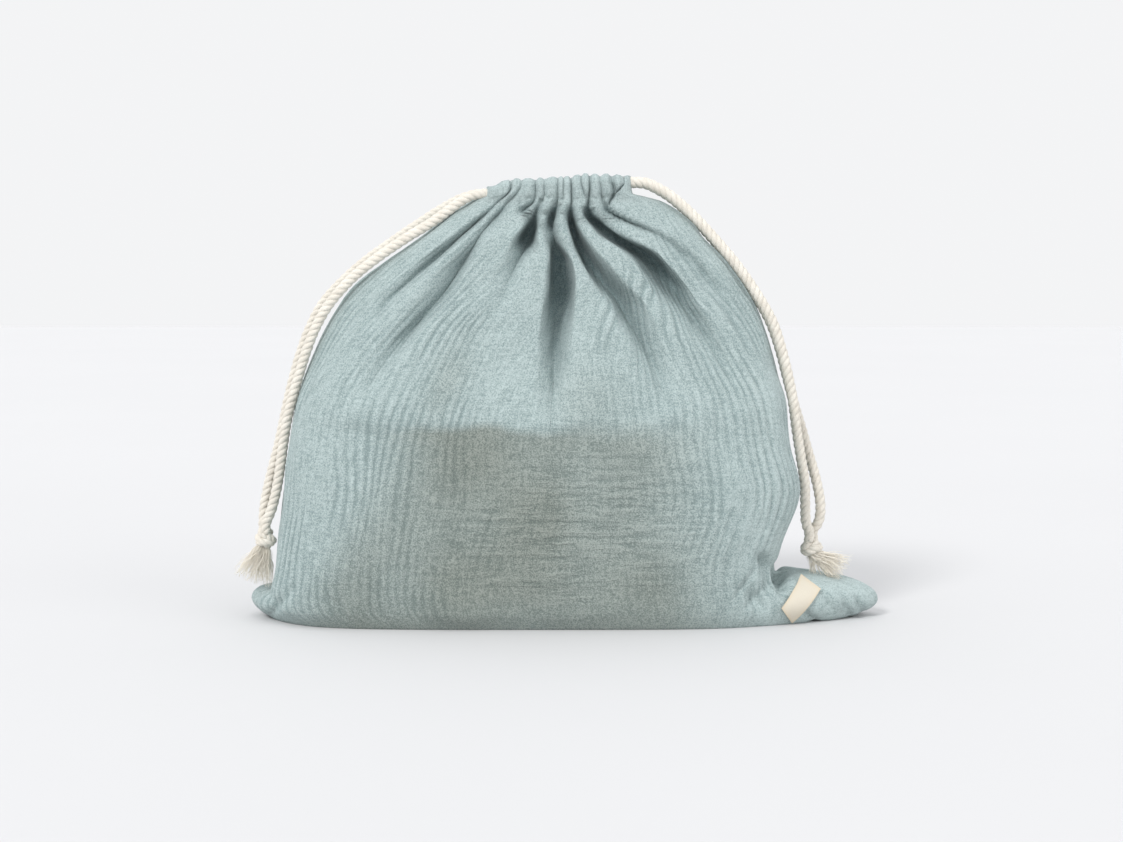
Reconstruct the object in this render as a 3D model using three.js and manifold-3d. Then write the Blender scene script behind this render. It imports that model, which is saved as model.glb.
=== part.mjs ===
// Cinched drawstring bag in double gauze, with two cotton cords, a knot and a tassel on each side.
// Millimetres, +Z up, front towards -Y. The origin is on the table, under the middle of the cloth.
import * as THREE from 'three';
import { mergeVertices } from 'three/addons/utils/BufferGeometryUtils.js';
import Module from 'manifold-3d';

const wasm = await Module();
wasm.setup();

// Cloth and clearances
const clothWall = 1.6;
const seatGap = 0.3;

// Filled body
const cornerSpan = 294;
const bodyDepth = 94;
const bodyHeight = 191;
const mainPleats = 9;
const mainPleatDepth = 6;
const pleatFoot = 104;

// Bottom corners that stick out as ears
const rightEar = { reach: 45, thickness: 38, middle: 8, halfHeight: 13 };
const leftEar = { reach: 11.75, thickness: 30, middle: 5, halfHeight: 9 };
const earFlatness = 1.5;
const earHollow = 0.3;

// Gathered casing
const casingWidth = 67;
const casingMiddle = -2.5;
const casingPleats = 18;
const casingPleatDepth = 5.5;
const mouthWidth = 5.8;
const stitchBand = 3;

// Cords
const cordDiameter = 5;
const cordClearance = 0.4;
const cordSides = 8;
const loopCover = 0.5;
const leadLength = 25;

// Knots and tassels
const knotRadius = 5.1;
const knotHeight = 8.6;
const knotWraps = 3;
const wrapGroove = 0.6;
const leftKnotPlace = { x: -140.2, y: -6, z: 37.2 };
const rightKnotPlace = { x: 115.1, y: -5, z: 33.4 };
const tasselNeck = 2.4;
const leftTassel = { end: [-146, -7, 17.5], halfWidth: 6.5, halfDepth: 3.6 };
const rightTassel = { end: [127, -7, 22], halfWidth: 5, halfDepth: 3.4 };

// Sewn label, bare, seen from the front
const label = { length: 18, width: 10.5, thickness: 0.7, x: 108.5, z: 11.8, turn: 54, gap: 0.9 };

// Outline of the filled bag from the table up. Height, left, right and depth are shares of
// bodyHeight, half of cornerSpan and half of bodyDepth, and square is the corner's exponent.
const outline = [
  { height: 0.000, left: 0.870, right: 0.680, depth: 0.87, square: 4.0 },
  { height: 0.042, left: 0.925, right: 0.694, depth: 0.98, square: 4.0 },
  { height: 0.136, left: 0.918, right: 0.670, depth: 1.00, square: 4.0 },
  { height: 0.314, left: 0.889, right: 0.738, depth: 1.00, square: 4.0 },
  { height: 0.429, left: 0.867, right: 0.704, depth: 0.98, square: 3.8 },
  { height: 0.550, left: 0.837, right: 0.687, depth: 0.92, square: 3.4 },
  { height: 0.665, left: 0.779, right: 0.648, depth: 0.80, square: 3.0 },
  { height: 0.754, left: 0.718, right: 0.605, depth: 0.70, square: 2.8 },
  { height: 0.812, left: 0.660, right: 0.561, depth: 0.63, square: 2.8 },
  { height: 0.869, left: 0.565, right: 0.507, depth: 0.57, square: 3.0 },
  { height: 0.929, left: 0.449, right: 0.435, depth: 0.49, square: 3.4 },
];
const neckSquare = 5;

// Levels at which the cloth is shaped: close together at the ears, wider above
const earLevels = [0, 3, 6, 9, 12, 15, 18, 21, 25];
const upperLevels = [40, 58, 76, 92, 106, 120, 134, 148, 160, 171, 181, bodyHeight];
const columns = mainPleats * 4;

// Sizes that follow from the ones above
const cordRadius = cordDiameter / 2;
const casingLeft = casingMiddle - casingWidth / 2;
const casingRight = casingMiddle + casingWidth / 2;
const casingBottom = bodyHeight + seatGap;
const laneDepth = mouthWidth / 2 + clothWall + cordClearance + cordRadius;
const leftLane = casingBottom + stitchBand + cordClearance + cordRadius;
const rightLane = leftLane + cordDiameter + cordClearance;
const channelInner = mouthWidth / 2 + clothWall;
const channelOuter = laneDepth + cordRadius + cordClearance;
const channelBottom = casingBottom + stitchBand;
const channelTop = rightLane + cordRadius + cordClearance;
const casingTop = channelTop + clothWall;
const casingValley = channelOuter + clothWall;
const neckDepth = casingValley + casingPleatDepth;
const halfSpan = cornerSpan / 2;
const halfDepth = bodyDepth / 2;

// Routes of the free cords from the casing's ends to the knots, chosen by hand along the photograph.
// The first and last points come from the casing and the knots.
const leftFrontRoute = [
  [-43, -7.5, 196.4], [-48.5, -8, 193.4], [-54.5, -8.6, 189], [-62, -9.6, 183.6], [-72.5, -11, 177.2],
  [-84.3, -12, 169.3], [-95.6, -12.5, 160.6], [-103.6, -12.5, 152.6], [-110, -12, 144.6],
  [-115.2, -11.5, 135.3], [-119.2, -11, 125.5], [-122.8, -10.5, 114.5], [-126.2, -10, 103],
  [-128.9, -9.5, 92.5], [-130.7, -9.2, 82], [-132.2, -9, 71.5], [-133.9, -8.8, 61.5], [-136.4, -8.8, 51.5],
];
const leftBackRoute = [
  [-43.5, 7.2, 196.9], [-50, 6.4, 194.6], [-58.5, 5.2, 189.8], [-69, 4, 183], [-81.3, 2.2, 174.6],
  [-93.2, 0.4, 165.9], [-103.6, -1.2, 156.6], [-112.7, -2.4, 146.3], [-118.6, -3.2, 135.1],
  [-122.8, -3.6, 124], [-126, -3.8, 113.1], [-129, -3.8, 101.3], [-131.6, -3.7, 89.6], [-134, -3.5, 79.2],
  [-136.6, -3.3, 69.8], [-138.8, -3.2, 61], [-140.6, -3.2, 51.5],
];
const rightFrontRoute = [
  [38.2, -7.6, 202], [43.8, -7.9, 199.3], [50, -8.3, 195.3], [59, -9, 187.3], [69.6, -9.6, 175.9],
  [79.4, -10, 164.2], [88.6, -10.4, 151], [95.9, -10.4, 138.1], [100.3, -10.2, 124.9], [103.8, -9.8, 111],
  [105.9, -9.5, 99.7], [107.3, -9.4, 89], [109.3, -9.4, 76.5], [111.4, -9.2, 64], [111.8, -8.8, 53],
  [112.3, -8, 45],
];
const rightBackRoute = [
  [38.2, 7.2, 202], [43.8, 6.8, 199.3], [50, 6.3, 195.3], [59, 5.6, 187.3], [69.6, 5, 175.9],
  [79.4, 4.4, 164.2], [88.6, 3.8, 151], [95.9, 3.2, 138.1], [100.6, 2.6, 124.9], [104.2, 1.6, 111],
  [107.2, 0.4, 99.7], [110.4, -0.6, 89], [114, -1.4, 76.5], [117.6, -2, 64], [119.6, -2.4, 53],
  [119, -2.6, 45],
];

const muslin = new THREE.MeshStandardMaterial({ color: 0x9db8b7, roughness: 0.95, metalness: 0 });
const muslinBack = new THREE.MeshStandardMaterial({ color: 0x95b0af, roughness: 0.95, metalness: 0 });
const cotton = new THREE.MeshStandardMaterial({ color: 0xe4dccb, roughness: 0.9, metalness: 0 });
const tape = new THREE.MeshStandardMaterial({ color: 0xefe3c6, roughness: 0.85, metalness: 0 });

// Smooth value of one field of a list of stations at a height
function between(stations, field, height) {
  const last = stations.length - 2;
  const found = stations.findIndex((s, i) => i <= last && height <= stations[i + 1].height);
  const i = found < 0 ? last : found;
  const a = stations[i];
  const b = stations[i + 1];
  const slope = (j) => {
    const p = stations[Math.max(j - 1, 0)];
    const q = stations[Math.min(j + 1, stations.length - 1)];
    return (q[field] - p[field]) / (q.height - p.height);
  };
  const span = b.height - a.height;
  const t = THREE.MathUtils.clamp((height - a.height) / span, 0, 1);
  const start = (1 + 2 * t) * (1 - t) ** 2 * a[field] + t * (1 - t) ** 2 * span * slope(i);
  const end = t * t * (3 - 2 * t) * b[field] + t * t * (t - 1) * span * slope(i + 1);
  return start + end;
}

const stations = outline.map((s) => ({
  height: s.height * bodyHeight,
  left: -s.left * halfSpan,
  right: s.right * halfSpan,
  depth: s.depth * halfDepth,
  square: s.square,
}));
stations.push({
  height: bodyHeight, left: casingLeft, right: casingRight, depth: neckDepth, square: neckSquare,
});

// How far an ear stands out at a height, from 0 to 1
function earShape(ear, z) {
  return Math.sqrt(Math.max(0, 1 - ((z - ear.middle) / ear.halfHeight) ** 2));
}

function earPush(ear, z, depth) {
  const fullness = earShape(ear, z);
  const reach = ear.reach * fullness;
  const thickness = ear.thickness * (0.5 + 0.5 * fullness);
  return reach * Math.max(0, 1 - depth / thickness) ** earFlatness;
}

// Half of the bag's section at a height, from the left side seam to the right one, as [x, depth].
// The inner face is set in by the wall, and reaches only a little way into the ears.
function halfSection(z, inset, earShare) {
  const left = between(stations, 'left', z) + inset;
  const right = between(stations, 'right', z) - inset;
  const depth = between(stations, 'depth', z) - inset;
  const power = 2 / between(stations, 'square', z);
  const middle = (left + right) / 2;
  const reach = (right - left) / 2;
  const samples = 400;
  const points = [];
  for (let i = 0; i <= samples; i += 1) {
    const t = i / samples;
    const angle = Math.PI * t * t / (t * t + (1 - t) ** 2);
    const across = -Math.cos(angle);
    const out = depth * Math.sin(angle) ** power;
    const x = middle + reach * Math.sign(across) * Math.abs(across) ** power;
    const push = across < 0 ? -earPush(leftEar, z, out) : earPush(rightEar, z, out);
    points.push(new THREE.Vector2(x + earShare * push, out));
  }
  return points;
}

// Evenly spaced points along a polyline
function spaced(points, count) {
  const lengths = [0];
  for (let i = 1; i < points.length; i += 1) {
    lengths.push(lengths[i - 1] + points[i].distanceTo(points[i - 1]));
  }
  const total = lengths[lengths.length - 1];
  const result = [];
  let i = 0;
  for (let k = 0; k <= count; k += 1) {
    const wanted = total * k / count;
    while (i < points.length - 2 && lengths[i + 1] < wanted) i += 1;
    const t = (wanted - lengths[i]) / (lengths[i + 1] - lengths[i]);
    result.push(points[i].clone().lerp(points[i + 1], THREE.MathUtils.clamp(t, 0, 1)));
  }
  return result;
}

// Depth of the gathers at a column and a height: none on the body, full at the neck
function gather(column, z) {
  const rise = THREE.MathUtils.smoothstep(z, pleatFoot, bodyHeight);
  const wave = 0.5 - 0.5 * Math.cos(2 * Math.PI * mainPleats * column / columns);
  return mainPleatDepth * rise * wave;
}

// One row of a panel: side is -1 for the front and 1 for the back
function panelRow(side, z, inset, earShare) {
  const section = spaced(halfSection(z, inset, earShare), columns);
  const floor = z * (bodyHeight - inset) / bodyHeight + inset;
  return section.map((p, column) => {
    const depth = Math.max(0, p.y - Math.min(gather(column, z), 0.8 * p.y));
    return new THREE.Vector3(p.x, side * (depth + seatGap / 2), inset ? Math.min(floor, bodyHeight) : z);
  });
}

// A closed geometry from a grid of outer points and a matching grid of inner points
function sheetSolid(outer, inner, flip) {
  const rows = outer.length;
  const width = outer[0].length;
  const positions = [...outer.flat(), ...inner.flat()].flatMap((p) => [p.x, p.y, p.z]);
  const faces = [];
  const outerAt = (r, c) => r * width + c;
  const innerAt = (r, c) => rows * width + r * width + c;
  const quad = (a, b, c, d) => faces.push([a, b, c], [a, c, d]);
  for (let r = 0; r < rows - 1; r += 1) {
    for (let c = 0; c < width - 1; c += 1) {
      quad(outerAt(r, c), outerAt(r, c + 1), outerAt(r + 1, c + 1), outerAt(r + 1, c));
      quad(innerAt(r, c), innerAt(r + 1, c), innerAt(r + 1, c + 1), innerAt(r, c + 1));
    }
    quad(outerAt(r, 0), outerAt(r + 1, 0), innerAt(r + 1, 0), innerAt(r, 0));
    quad(outerAt(r + 1, width - 1), outerAt(r, width - 1), innerAt(r, width - 1), innerAt(r + 1, width - 1));
  }
  for (let c = 0; c < width - 1; c += 1) {
    quad(outerAt(0, c + 1), outerAt(0, c), innerAt(0, c), innerAt(0, c + 1));
    quad(outerAt(rows - 1, c), outerAt(rows - 1, c + 1), innerAt(rows - 1, c + 1), innerAt(rows - 1, c));
  }
  return closedGeometry(positions, faces, flip);
}

// A closed geometry from sections with equal numbers of points, capped at both ends
function loftSolid(sections, flip) {
  const count = sections[0].length;
  const positions = sections.flat().flatMap((p) => [p.x, p.y, p.z]);
  const faces = [];
  for (let s = 0; s < sections.length - 1; s += 1) {
    for (let i = 0; i < count; i += 1) {
      const a = s * count + i;
      const b = s * count + (i + 1) % count;
      faces.push([a, b, b + count], [a, b + count, a + count]);
    }
  }
  const top = (sections.length - 1) * count;
  for (let i = 1; i < count - 1; i += 1) {
    faces.push([0, i + 1, i], [top, top + i, top + i + 1]);
  }
  return closedGeometry(positions, faces, flip);
}

// Shared points are merged, and faces that have closed up to a line are left out
function closedGeometry(positions, faces, flip) {
  const geometry = new THREE.BufferGeometry();
  geometry.setAttribute('position', new THREE.Float32BufferAttribute(positions, 3));
  geometry.setIndex(faces.flatMap(([a, b, c]) => (flip ? [a, c, b] : [a, b, c])));
  const merged = mergeVertices(geometry, 1e-3);
  const index = [...merged.index.array];
  const kept = [];
  for (let i = 0; i < index.length; i += 3) {
    const [a, b, c] = index.slice(i, i + 3);
    if (a !== b && b !== c && a !== c) kept.push(a, b, c);
  }
  merged.setIndex(kept);
  merged.computeVertexNormals();
  return merged;
}

function toManifold(geometry) {
  const bare = geometry.clone();
  bare.deleteAttribute('normal');
  bare.deleteAttribute('uv');
  const merged = mergeVertices(bare, 1e-3);
  return new wasm.Manifold(new wasm.Mesh({
    numProp: 3,
    vertProperties: new Float32Array(merged.attributes.position.array),
    triVerts: new Uint32Array(merged.index.array),
  }));
}

function fromManifold(solid) {
  const mesh = solid.getMesh();
  const geometry = new THREE.BufferGeometry();
  geometry.setAttribute('position', new THREE.Float32BufferAttribute(mesh.vertProperties, 3));
  geometry.setIndex([...mesh.triVerts]);
  geometry.computeVertexNormals();
  return geometry;
}

function boxBetween(low, high) {
  const size = high.map((v, i) => v - low[i]);
  const box = new THREE.BoxGeometry(...size);
  return box.translate(...low.map((v, i) => v + size[i] / 2));
}

// Half of the cloth body, from the bottom seam under the bag, round the edge and up to the casing
function panelGeometry(side) {
  const levels = [...earLevels, ...upperLevels];
  const outer = levels.map((z) => panelRow(side, z, 0, 1));
  const inner = levels.map((z) => panelRow(side, z, clothWall, earHollow));
  const seam = (row, z) => row.map((p) => new THREE.Vector3(p.x, side * seatGap / 2, z));
  outer.unshift(seam(outer[0], 0));
  inner.unshift(seam(inner[0], clothWall));
  return sheetSolid(outer, inner, side > 0);
}

// Half of the gathered casing: a pleated tube that both cords run through
function casingGeometry(side) {
  const steps = casingPleats * 4;
  const sections = [];
  for (let i = 0; i <= steps; i += 1) {
    const x = casingLeft + casingWidth * i / steps;
    const wave = 0.5 - 0.5 * Math.cos(2 * Math.PI * casingPleats * i / steps);
    const front = casingValley + casingPleatDepth * wave;
    const profile = [
      [mouthWidth / 2, casingBottom], [casingValley + casingPleatDepth * wave / 2, casingBottom],
      [front, (casingBottom + casingTop) / 2], [front - clothWall, casingTop - clothWall],
      [front - casingPleatDepth, casingTop], [mouthWidth / 2, casingTop],
    ];
    sections.push(profile.map(([depth, z]) => new THREE.Vector3(x, side * depth, z)));
  }
  const tube = toManifold(loftSolid(sections, side < 0));
  const near = side * channelInner;
  const far = side * channelOuter;
  const channel = boxBetween(
    [casingLeft - 1, Math.min(near, far), channelBottom],
    [casingRight + 1, Math.max(near, far), channelTop],
  );
  const turn = laneDepth + cordRadius + loopCover + 1;
  const inside = [Math.min(0, near), Math.max(0, near)];
  const rightNotch = boxBetween([casingRight - turn, inside[0], channelBottom],
    [casingRight + 1, inside[1], channelTop]);
  const leftNotch = boxBetween([casingLeft - 1, inside[0], channelBottom],
    [casingLeft + turn, inside[1], channelTop]);
  const cuts = [channel, rightNotch, leftNotch].map(toManifold);
  return fromManifold(cuts.reduce((solid, cut) => solid.subtract(cut), tube));
}

function cordTube(curve, steps) {
  const corners = [];
  for (let i = 0; i < cordSides; i += 1) {
    const angle = 2 * Math.PI * i / cordSides;
    corners.push(new THREE.Vector2(cordRadius * Math.cos(angle), cordRadius * Math.sin(angle)));
  }
  const shape = new THREE.Shape(corners);
  return new THREE.ExtrudeGeometry(shape, { steps, extrudePath: curve, curveSegments: 1 });
}

// The part of a drawcord that stays in the casing: in through one channel, round and back
function loopGeometry(laneHeight, endX, turnSide) {
  const leadEnd = turnSide > 0 ? casingLeft + leadLength : casingRight - leadLength;
  const startX = leadEnd + turnSide * seatGap;
  const centreX = endX - turnSide * (loopCover + cordRadius + laneDepth);
  const bends = 10;
  const points = [new THREE.Vector3(startX, -laneDepth, laneHeight)];
  for (let i = 0; i <= bends; i += 1) {
    const angle = -Math.PI / 2 + Math.PI * i / bends;
    const x = centreX + turnSide * laneDepth * Math.cos(angle);
    points.push(new THREE.Vector3(x, laneDepth * Math.sin(angle), laneHeight));
  }
  points.push(new THREE.Vector3(startX, laneDepth, laneHeight));
  const curve = new THREE.CatmullRomCurve3(points, false, 'centripetal');
  return cordTube(curve, 24);
}

// A straight end of cord in the casing, which comes out when the bag is drawn tighter
function leadGeometry(endX, turnSide, side, laneHeight) {
  const inner = endX - turnSide * leadLength;
  const start = new THREE.Vector3(inner, side * laneDepth, laneHeight);
  const end = new THREE.Vector3(endX, side * laneDepth, laneHeight);
  return cordTube(new THREE.LineCurve3(start, end), 4);
}

// A free cord from the casing's end, straight out at first, to the top of its knot
function legGeometry(endX, turnSide, side, laneHeight, route, knotPlace, spread) {
  const start = new THREE.Vector3(endX + turnSide * seatGap, side * laneDepth, laneHeight);
  const straight = start.clone().add(new THREE.Vector3(turnSide * cordRadius, 0, 0));
  const end = new THREE.Vector3(
    knotPlace.x + spread.x, knotPlace.y + spread.y, knotPlace.z + knotHeight / 2 + seatGap,
  );
  const above = end.clone().add(new THREE.Vector3(0, 0, cordRadius));
  const points = [start, straight, ...route.map((p) => new THREE.Vector3(...p)), above, end];
  return cordTube(new THREE.CatmullRomCurve3(points, false, 'centripetal'), 26);
}

// An overhand knot as a short barrel of wraps
function knotGeometry() {
  const steps = knotWraps * 4;
  const profile = [new THREE.Vector2(0, -knotHeight / 2)];
  for (let i = 0; i <= steps; i += 1) {
    const t = i / steps;
    const groove = wrapGroove * (0.5 + 0.5 * Math.cos(2 * Math.PI * knotWraps * t));
    profile.push(new THREE.Vector2(knotRadius - groove, (t - 0.5) * knotHeight));
  }
  profile.push(new THREE.Vector2(0, knotHeight / 2));
  return new THREE.LatheGeometry(profile, 14).rotateX(Math.PI / 2);
}

// A frayed end under its knot, fanning out to an oval across its own direction
function tasselGeometry(knotPlace, tassel) {
  const start = new THREE.Vector3(knotPlace.x, knotPlace.y, knotPlace.z - knotHeight / 2 - seatGap);
  const end = new THREE.Vector3(...tassel.end);
  const level = new THREE.Quaternion();
  const tilted = new THREE.Quaternion().setFromUnitVectors(
    new THREE.Vector3(0, 0, -1), end.clone().sub(start).normalize(),
  );
  const steps = 5;
  const sides = 12;
  const sections = [];
  for (let s = 0; s <= steps; s += 1) {
    const t = s / steps;
    const centre = start.clone().lerp(end, t);
    const lean = level.clone().slerp(tilted, t);
    const spread = Math.sqrt(t);
    const wide = THREE.MathUtils.lerp(tasselNeck, tassel.halfWidth, spread);
    const deep = THREE.MathUtils.lerp(tasselNeck, tassel.halfDepth, spread);
    const ring = [];
    for (let i = 0; i < sides; i += 1) {
      const angle = -2 * Math.PI * i / sides;
      const rim = new THREE.Vector3(wide * Math.cos(angle), deep * Math.sin(angle), 0);
      ring.push(centre.clone().add(rim.applyQuaternion(lean)));
    }
    sections.push(ring);
  }
  return loftSolid(sections, false);
}

// Depth of the cloth's outer face near the right end of a section
function clothDepth(x, z) {
  const section = halfSection(z, 0, 1).slice(200);
  const after = section.findIndex((p) => p.x >= x);
  if (after < 1) return section[section.length - 1].y;
  const tail = section.slice(after);
  const outer = tail.reduce((deep, p) => (p.x >= x ? Math.max(deep, p.y) : deep), 0);
  return outer;
}

// The label follows the cloth of the right ear's front
function labelGeometry() {
  const turn = THREE.MathUtils.degToRad(label.turn);
  const along = new THREE.Vector2(Math.cos(turn), Math.sin(turn));
  const across = new THREE.Vector2(Math.sin(turn), -Math.cos(turn));
  const place = (x, z) => new THREE.Vector3(x, -clothDepth(x, z) - seatGap / 2, z);
  const lift = (x, z, distance) => {
    const step = 0.5;
    const point = place(x, z);
    const right = place(x + step, z).sub(place(x - step, z));
    const up = place(x, z + step).sub(place(x, z - step));
    const normal = right.cross(up).normalize();
    return point.addScaledVector(normal, distance);
  };
  const rows = 6;
  const width = 4;
  const grid = (distance) => Array.from({ length: rows + 1 }, (_, r) => (
    Array.from({ length: width + 1 }, (__, c) => {
      const a = label.length * (r / rows - 0.5);
      const b = label.width * (c / width - 0.5);
      const x = label.x + along.x * a + across.x * b;
      const z = label.z + along.y * a + across.y * b;
      return lift(x, z, distance);
    })
  ));
  return sheetSolid(grid(label.gap + label.thickness), grid(label.gap), false);
}

const bag = new THREE.Group();

function add(name, geometry, material, place) {
  const mesh = new THREE.Mesh(geometry, material);
  mesh.name = name;
  if (place) mesh.position.set(place.x, place.y, place.z);
  bag.add(mesh);
}

add('front_panel', panelGeometry(-1), muslin);
add('back_panel', panelGeometry(1), muslinBack);
add('front_casing', casingGeometry(-1), muslin);
add('back_casing', casingGeometry(1), muslinBack);

const cords = [
  {
    name: 'left', endX: casingLeft, turnSide: -1, lane: leftLane, knot: leftKnotPlace, tassel: leftTassel,
    routes: { front: leftFrontRoute, back: leftBackRoute }, spread: { x: 0.9, y: 2.6 },
  },
  {
    name: 'right', endX: casingRight, turnSide: 1, lane: rightLane, knot: rightKnotPlace, tassel: rightTassel,
    routes: { front: rightFrontRoute, back: rightBackRoute }, spread: { x: -1.2, y: 2.5 },
  },
];
for (const cord of cords) {
  const farEnd = cord.turnSide > 0 ? casingLeft : casingRight;
  add(`${cord.name}_drawcord_loop`, loopGeometry(cord.lane, farEnd, -cord.turnSide), cotton);
  for (const [face, side] of [['front', -1], ['back', 1]]) {
    const spread = { x: -side * cord.spread.x, y: side * cord.spread.y };
    add(`${cord.name}_cord_lead_${face}`, leadGeometry(cord.endX, cord.turnSide, side, cord.lane), cotton);
    add(`${cord.name}_cord_${face}`, legGeometry(
      cord.endX, cord.turnSide, side, cord.lane, cord.routes[face], cord.knot, spread,
    ), cotton);
  }
  add(`${cord.name}_knot`, knotGeometry(), cotton, cord.knot);
  add(`${cord.name}_tassel`, tasselGeometry(cord.knot, cord.tassel), cotton);
}

add('sewn_label', labelGeometry(), tape);

export default bag;
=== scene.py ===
"""Looks of a cinched drawstring bag: double gauze cloth, twisted cotton cords, knots, tassels and a label.

Metres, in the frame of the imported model: +X to the right seen from the front, -Y to the front, +Z up.
"""

import math

import bpy
import numpy as np
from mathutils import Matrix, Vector
from mathutils.bvhtree import BVHTree


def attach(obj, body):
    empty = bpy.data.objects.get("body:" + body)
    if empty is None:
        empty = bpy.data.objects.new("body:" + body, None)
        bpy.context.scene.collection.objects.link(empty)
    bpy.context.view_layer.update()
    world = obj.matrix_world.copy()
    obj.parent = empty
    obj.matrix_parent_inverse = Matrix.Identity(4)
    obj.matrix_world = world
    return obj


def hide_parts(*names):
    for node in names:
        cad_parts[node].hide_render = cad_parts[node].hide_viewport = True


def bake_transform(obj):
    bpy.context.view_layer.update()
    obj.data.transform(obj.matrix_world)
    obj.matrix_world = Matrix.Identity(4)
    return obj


MM = 0.001

# Camera of the photograph
CAMERA_PLACE = (-0.0016, -1.005, 0.170)
CAMERA_PITCH = 4.46
CAMERA_LENS = 69.05
SENSOR_WIDTH = 36

# Colours, linear
CLOTH_LIGHT = (0.450, 0.530, 0.523)
CLOTH_DARK = (0.225, 0.290, 0.288)
# Painted shade under the packing, multiplied into the cloth's colour
CLOTH_PACKING_SHADE = (0.62, 0.578, 0.528)
# Painted shade deep in the folds, multiplied into the cloth's colour
CLOTH_FOLD_SHADE = (0.52, 0.58, 0.60)
CLOTH_SHEEN = (0.85, 0.90, 0.90)
CORD_LIGHT = (0.755, 0.72, 0.65)
CORD_DARK = (0.61, 0.565, 0.49)
FIBRE_LIGHT = (0.90, 0.855, 0.77)
FIBRE_DARK = (0.78, 0.72, 0.61)
LABEL_LIGHT = (0.665, 0.615, 0.52)
LABEL_DARK = (0.56, 0.505, 0.405)
LABEL_EDGE = (0.62, 0.49, 0.31)
FLOOR = (0.626, 0.622, 0.624)
HORIZON = (0.90, 0.905, 0.915)
ZENITH = (1.10, 1.12, 1.15)
CEILING_FROM = 0.13
CEILING_TO = 0.85
RIGHT_LIGHT = 0.85
LEFT_LIGHT = 1.25
KEY_FROM = (-0.60, -0.88, 0.86)
KEY_POWER = 1.65
KEY_ANGLE = 15
FILL_FROM = (0.90, -0.62, 0.25)
FILL_POWER = 0.80
FILL_ANGLE = 50
FLOOR_REACH = 4

# Cords: three strands laid to the right, each of a few yarns laid to the left
CORD_DIAMETER = 0.005
STRANDS = 3
STRAND_RADIUS = 1.50 * MM
STRAND_OFFSET = 1.02 * MM
LAY_LENGTH = 9.7 * MM
YARNS = 6
YARN_DEPTH = 0.08
YARN_LAY = 6.5 * MM
CORD_SIDES = 22
CORD_STEP = 0.6 * MM
KNOT_SIDES = 18
KNOT_STEP = 0.35 * MM
HIDDEN_SIDES = 12
HIDDEN_STEP = 1 * MM
CORD_TUCK = 4 * MM

# Where the casing ends, and where each cord leaves it
CASING_LEFT = -0.036
CASING_RIGHT = 0.031
LANE_DEPTH = 0.0074
LEFT_LANE = 0.1972
RIGHT_LANE = 0.2026
EXIT_GAP = 0.3 * MM
LEAD_LENGTH = 0.025

# Hidden stretches of the cords: thinner, lower and closer together than the cords that they stand for,
# so that nothing shows through the gathers. A pair is where a change starts and where it is complete.
RIGHT_LEAD_DROP = 1.3 * MM
RIGHT_LEAD_DROPS = (0.016, 0.008)
LOOP_SCALE = 0.74
LEFT_LOOP_DROP = 1.0 * MM
RIGHT_LOOP_DROP = 2.8 * MM
RIGHT_BEND_DROP = 6.5 * MM
RIGHT_BEND_DROPS = (-0.010, -0.018)
LOOP_DROPS_OVER = 9 * MM
LOOP_CLOSER = 0.62
LOOP_SHORTER = 8 * MM
LOOP_GAP = 0.5 * MM

# Knots and tassels
KNOT_HEIGHT = 8.6 * MM
KNOT_GAP = 0.3 * MM
KNOT_TURNS = 2.3
KNOT_WRAP_RADIUS = 2.7 * MM
KNOT_WRAP_HEIGHT = 7 * MM
KNOT_WRAP_SCALE = 0.78
KNOT_OVER_RADIUS = 3.9 * MM
KNOT_OVER_HEIGHT = 5.2 * MM
KNOT_OVER_SCALE = 0.84
CORD_INTO_KNOT = 2 * MM
LEFT_KNOT = (-0.1402, -0.006, 0.0372)
RIGHT_KNOT = (0.1151, -0.005, 0.0334)
LEFT_TASSEL_END = (-0.146, -0.007, 0.0175)
RIGHT_TASSEL_END = (0.1300, -0.008, 0.0222)
LEFT_WISP_END = (-0.1405, -0.006, 0.0175)
RIGHT_WISP_END = (0.1168, -0.006, 0.0185)
TASSEL_TUCK = 1.2 * MM
TASSEL_ROOT = 1.9 * MM
WISP_ROOT = 0.9 * MM
WISP_SPREAD = (1.6 * MM, 1.4 * MM)
WISP_OPENING = 0.85
FIBRE_CURL = 0.8 * MM
FIBRE_LOWEST = 1 * MM

# Fibres of a tassel and of the stray wisp beside it: how many, their radius and their sides
TASSEL_FIBRES = [(32, 0.25 * MM, 5), (300, 0.09 * MM, 4)]
WISP_FIBRES = [(9, 0.24 * MM, 5), (24, 0.11 * MM, 4)]

# Routes of the free cords, between the casing's ends and the knots, in millimetres
LEFT_FRONT_ROUTE = [
    (-43, -7.5, 196.4), (-48.5, -8, 193.4), (-54.5, -8.6, 189), (-62, -9.6, 183.6), (-72.5, -11, 177.2),
    (-84.3, -12, 169.3), (-95.6, -12.5, 160.6), (-103.6, -12.5, 152.6), (-110, -12, 144.6),
    (-115.2, -11.5, 135.3), (-119.2, -11, 125.5), (-122.8, -10.5, 114.5), (-126.2, -10, 103),
    (-128.9, -9.5, 92.5), (-130.7, -9.2, 82), (-132.2, -9, 71.5), (-133.9, -8.8, 61.5),
    (-136.4, -8.8, 51.5),
]
LEFT_BACK_ROUTE = [
    (-43.5, 7.2, 196.9), (-50, 6.4, 194.6), (-58.5, 5.2, 189.8), (-69, 4, 183), (-81.3, 2.2, 174.6),
    (-93.2, 0.4, 165.9), (-103.6, -1.2, 156.6), (-112.7, -2.4, 146.3), (-118.6, -3.2, 135.1),
    (-122.8, -3.6, 124), (-126, -3.8, 113.1), (-129, -3.8, 101.3), (-131.6, -3.7, 89.6),
    (-134, -3.5, 79.2), (-136.6, -3.3, 69.8), (-138.8, -3.2, 61), (-140.6, -3.2, 51.5),
]
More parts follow.
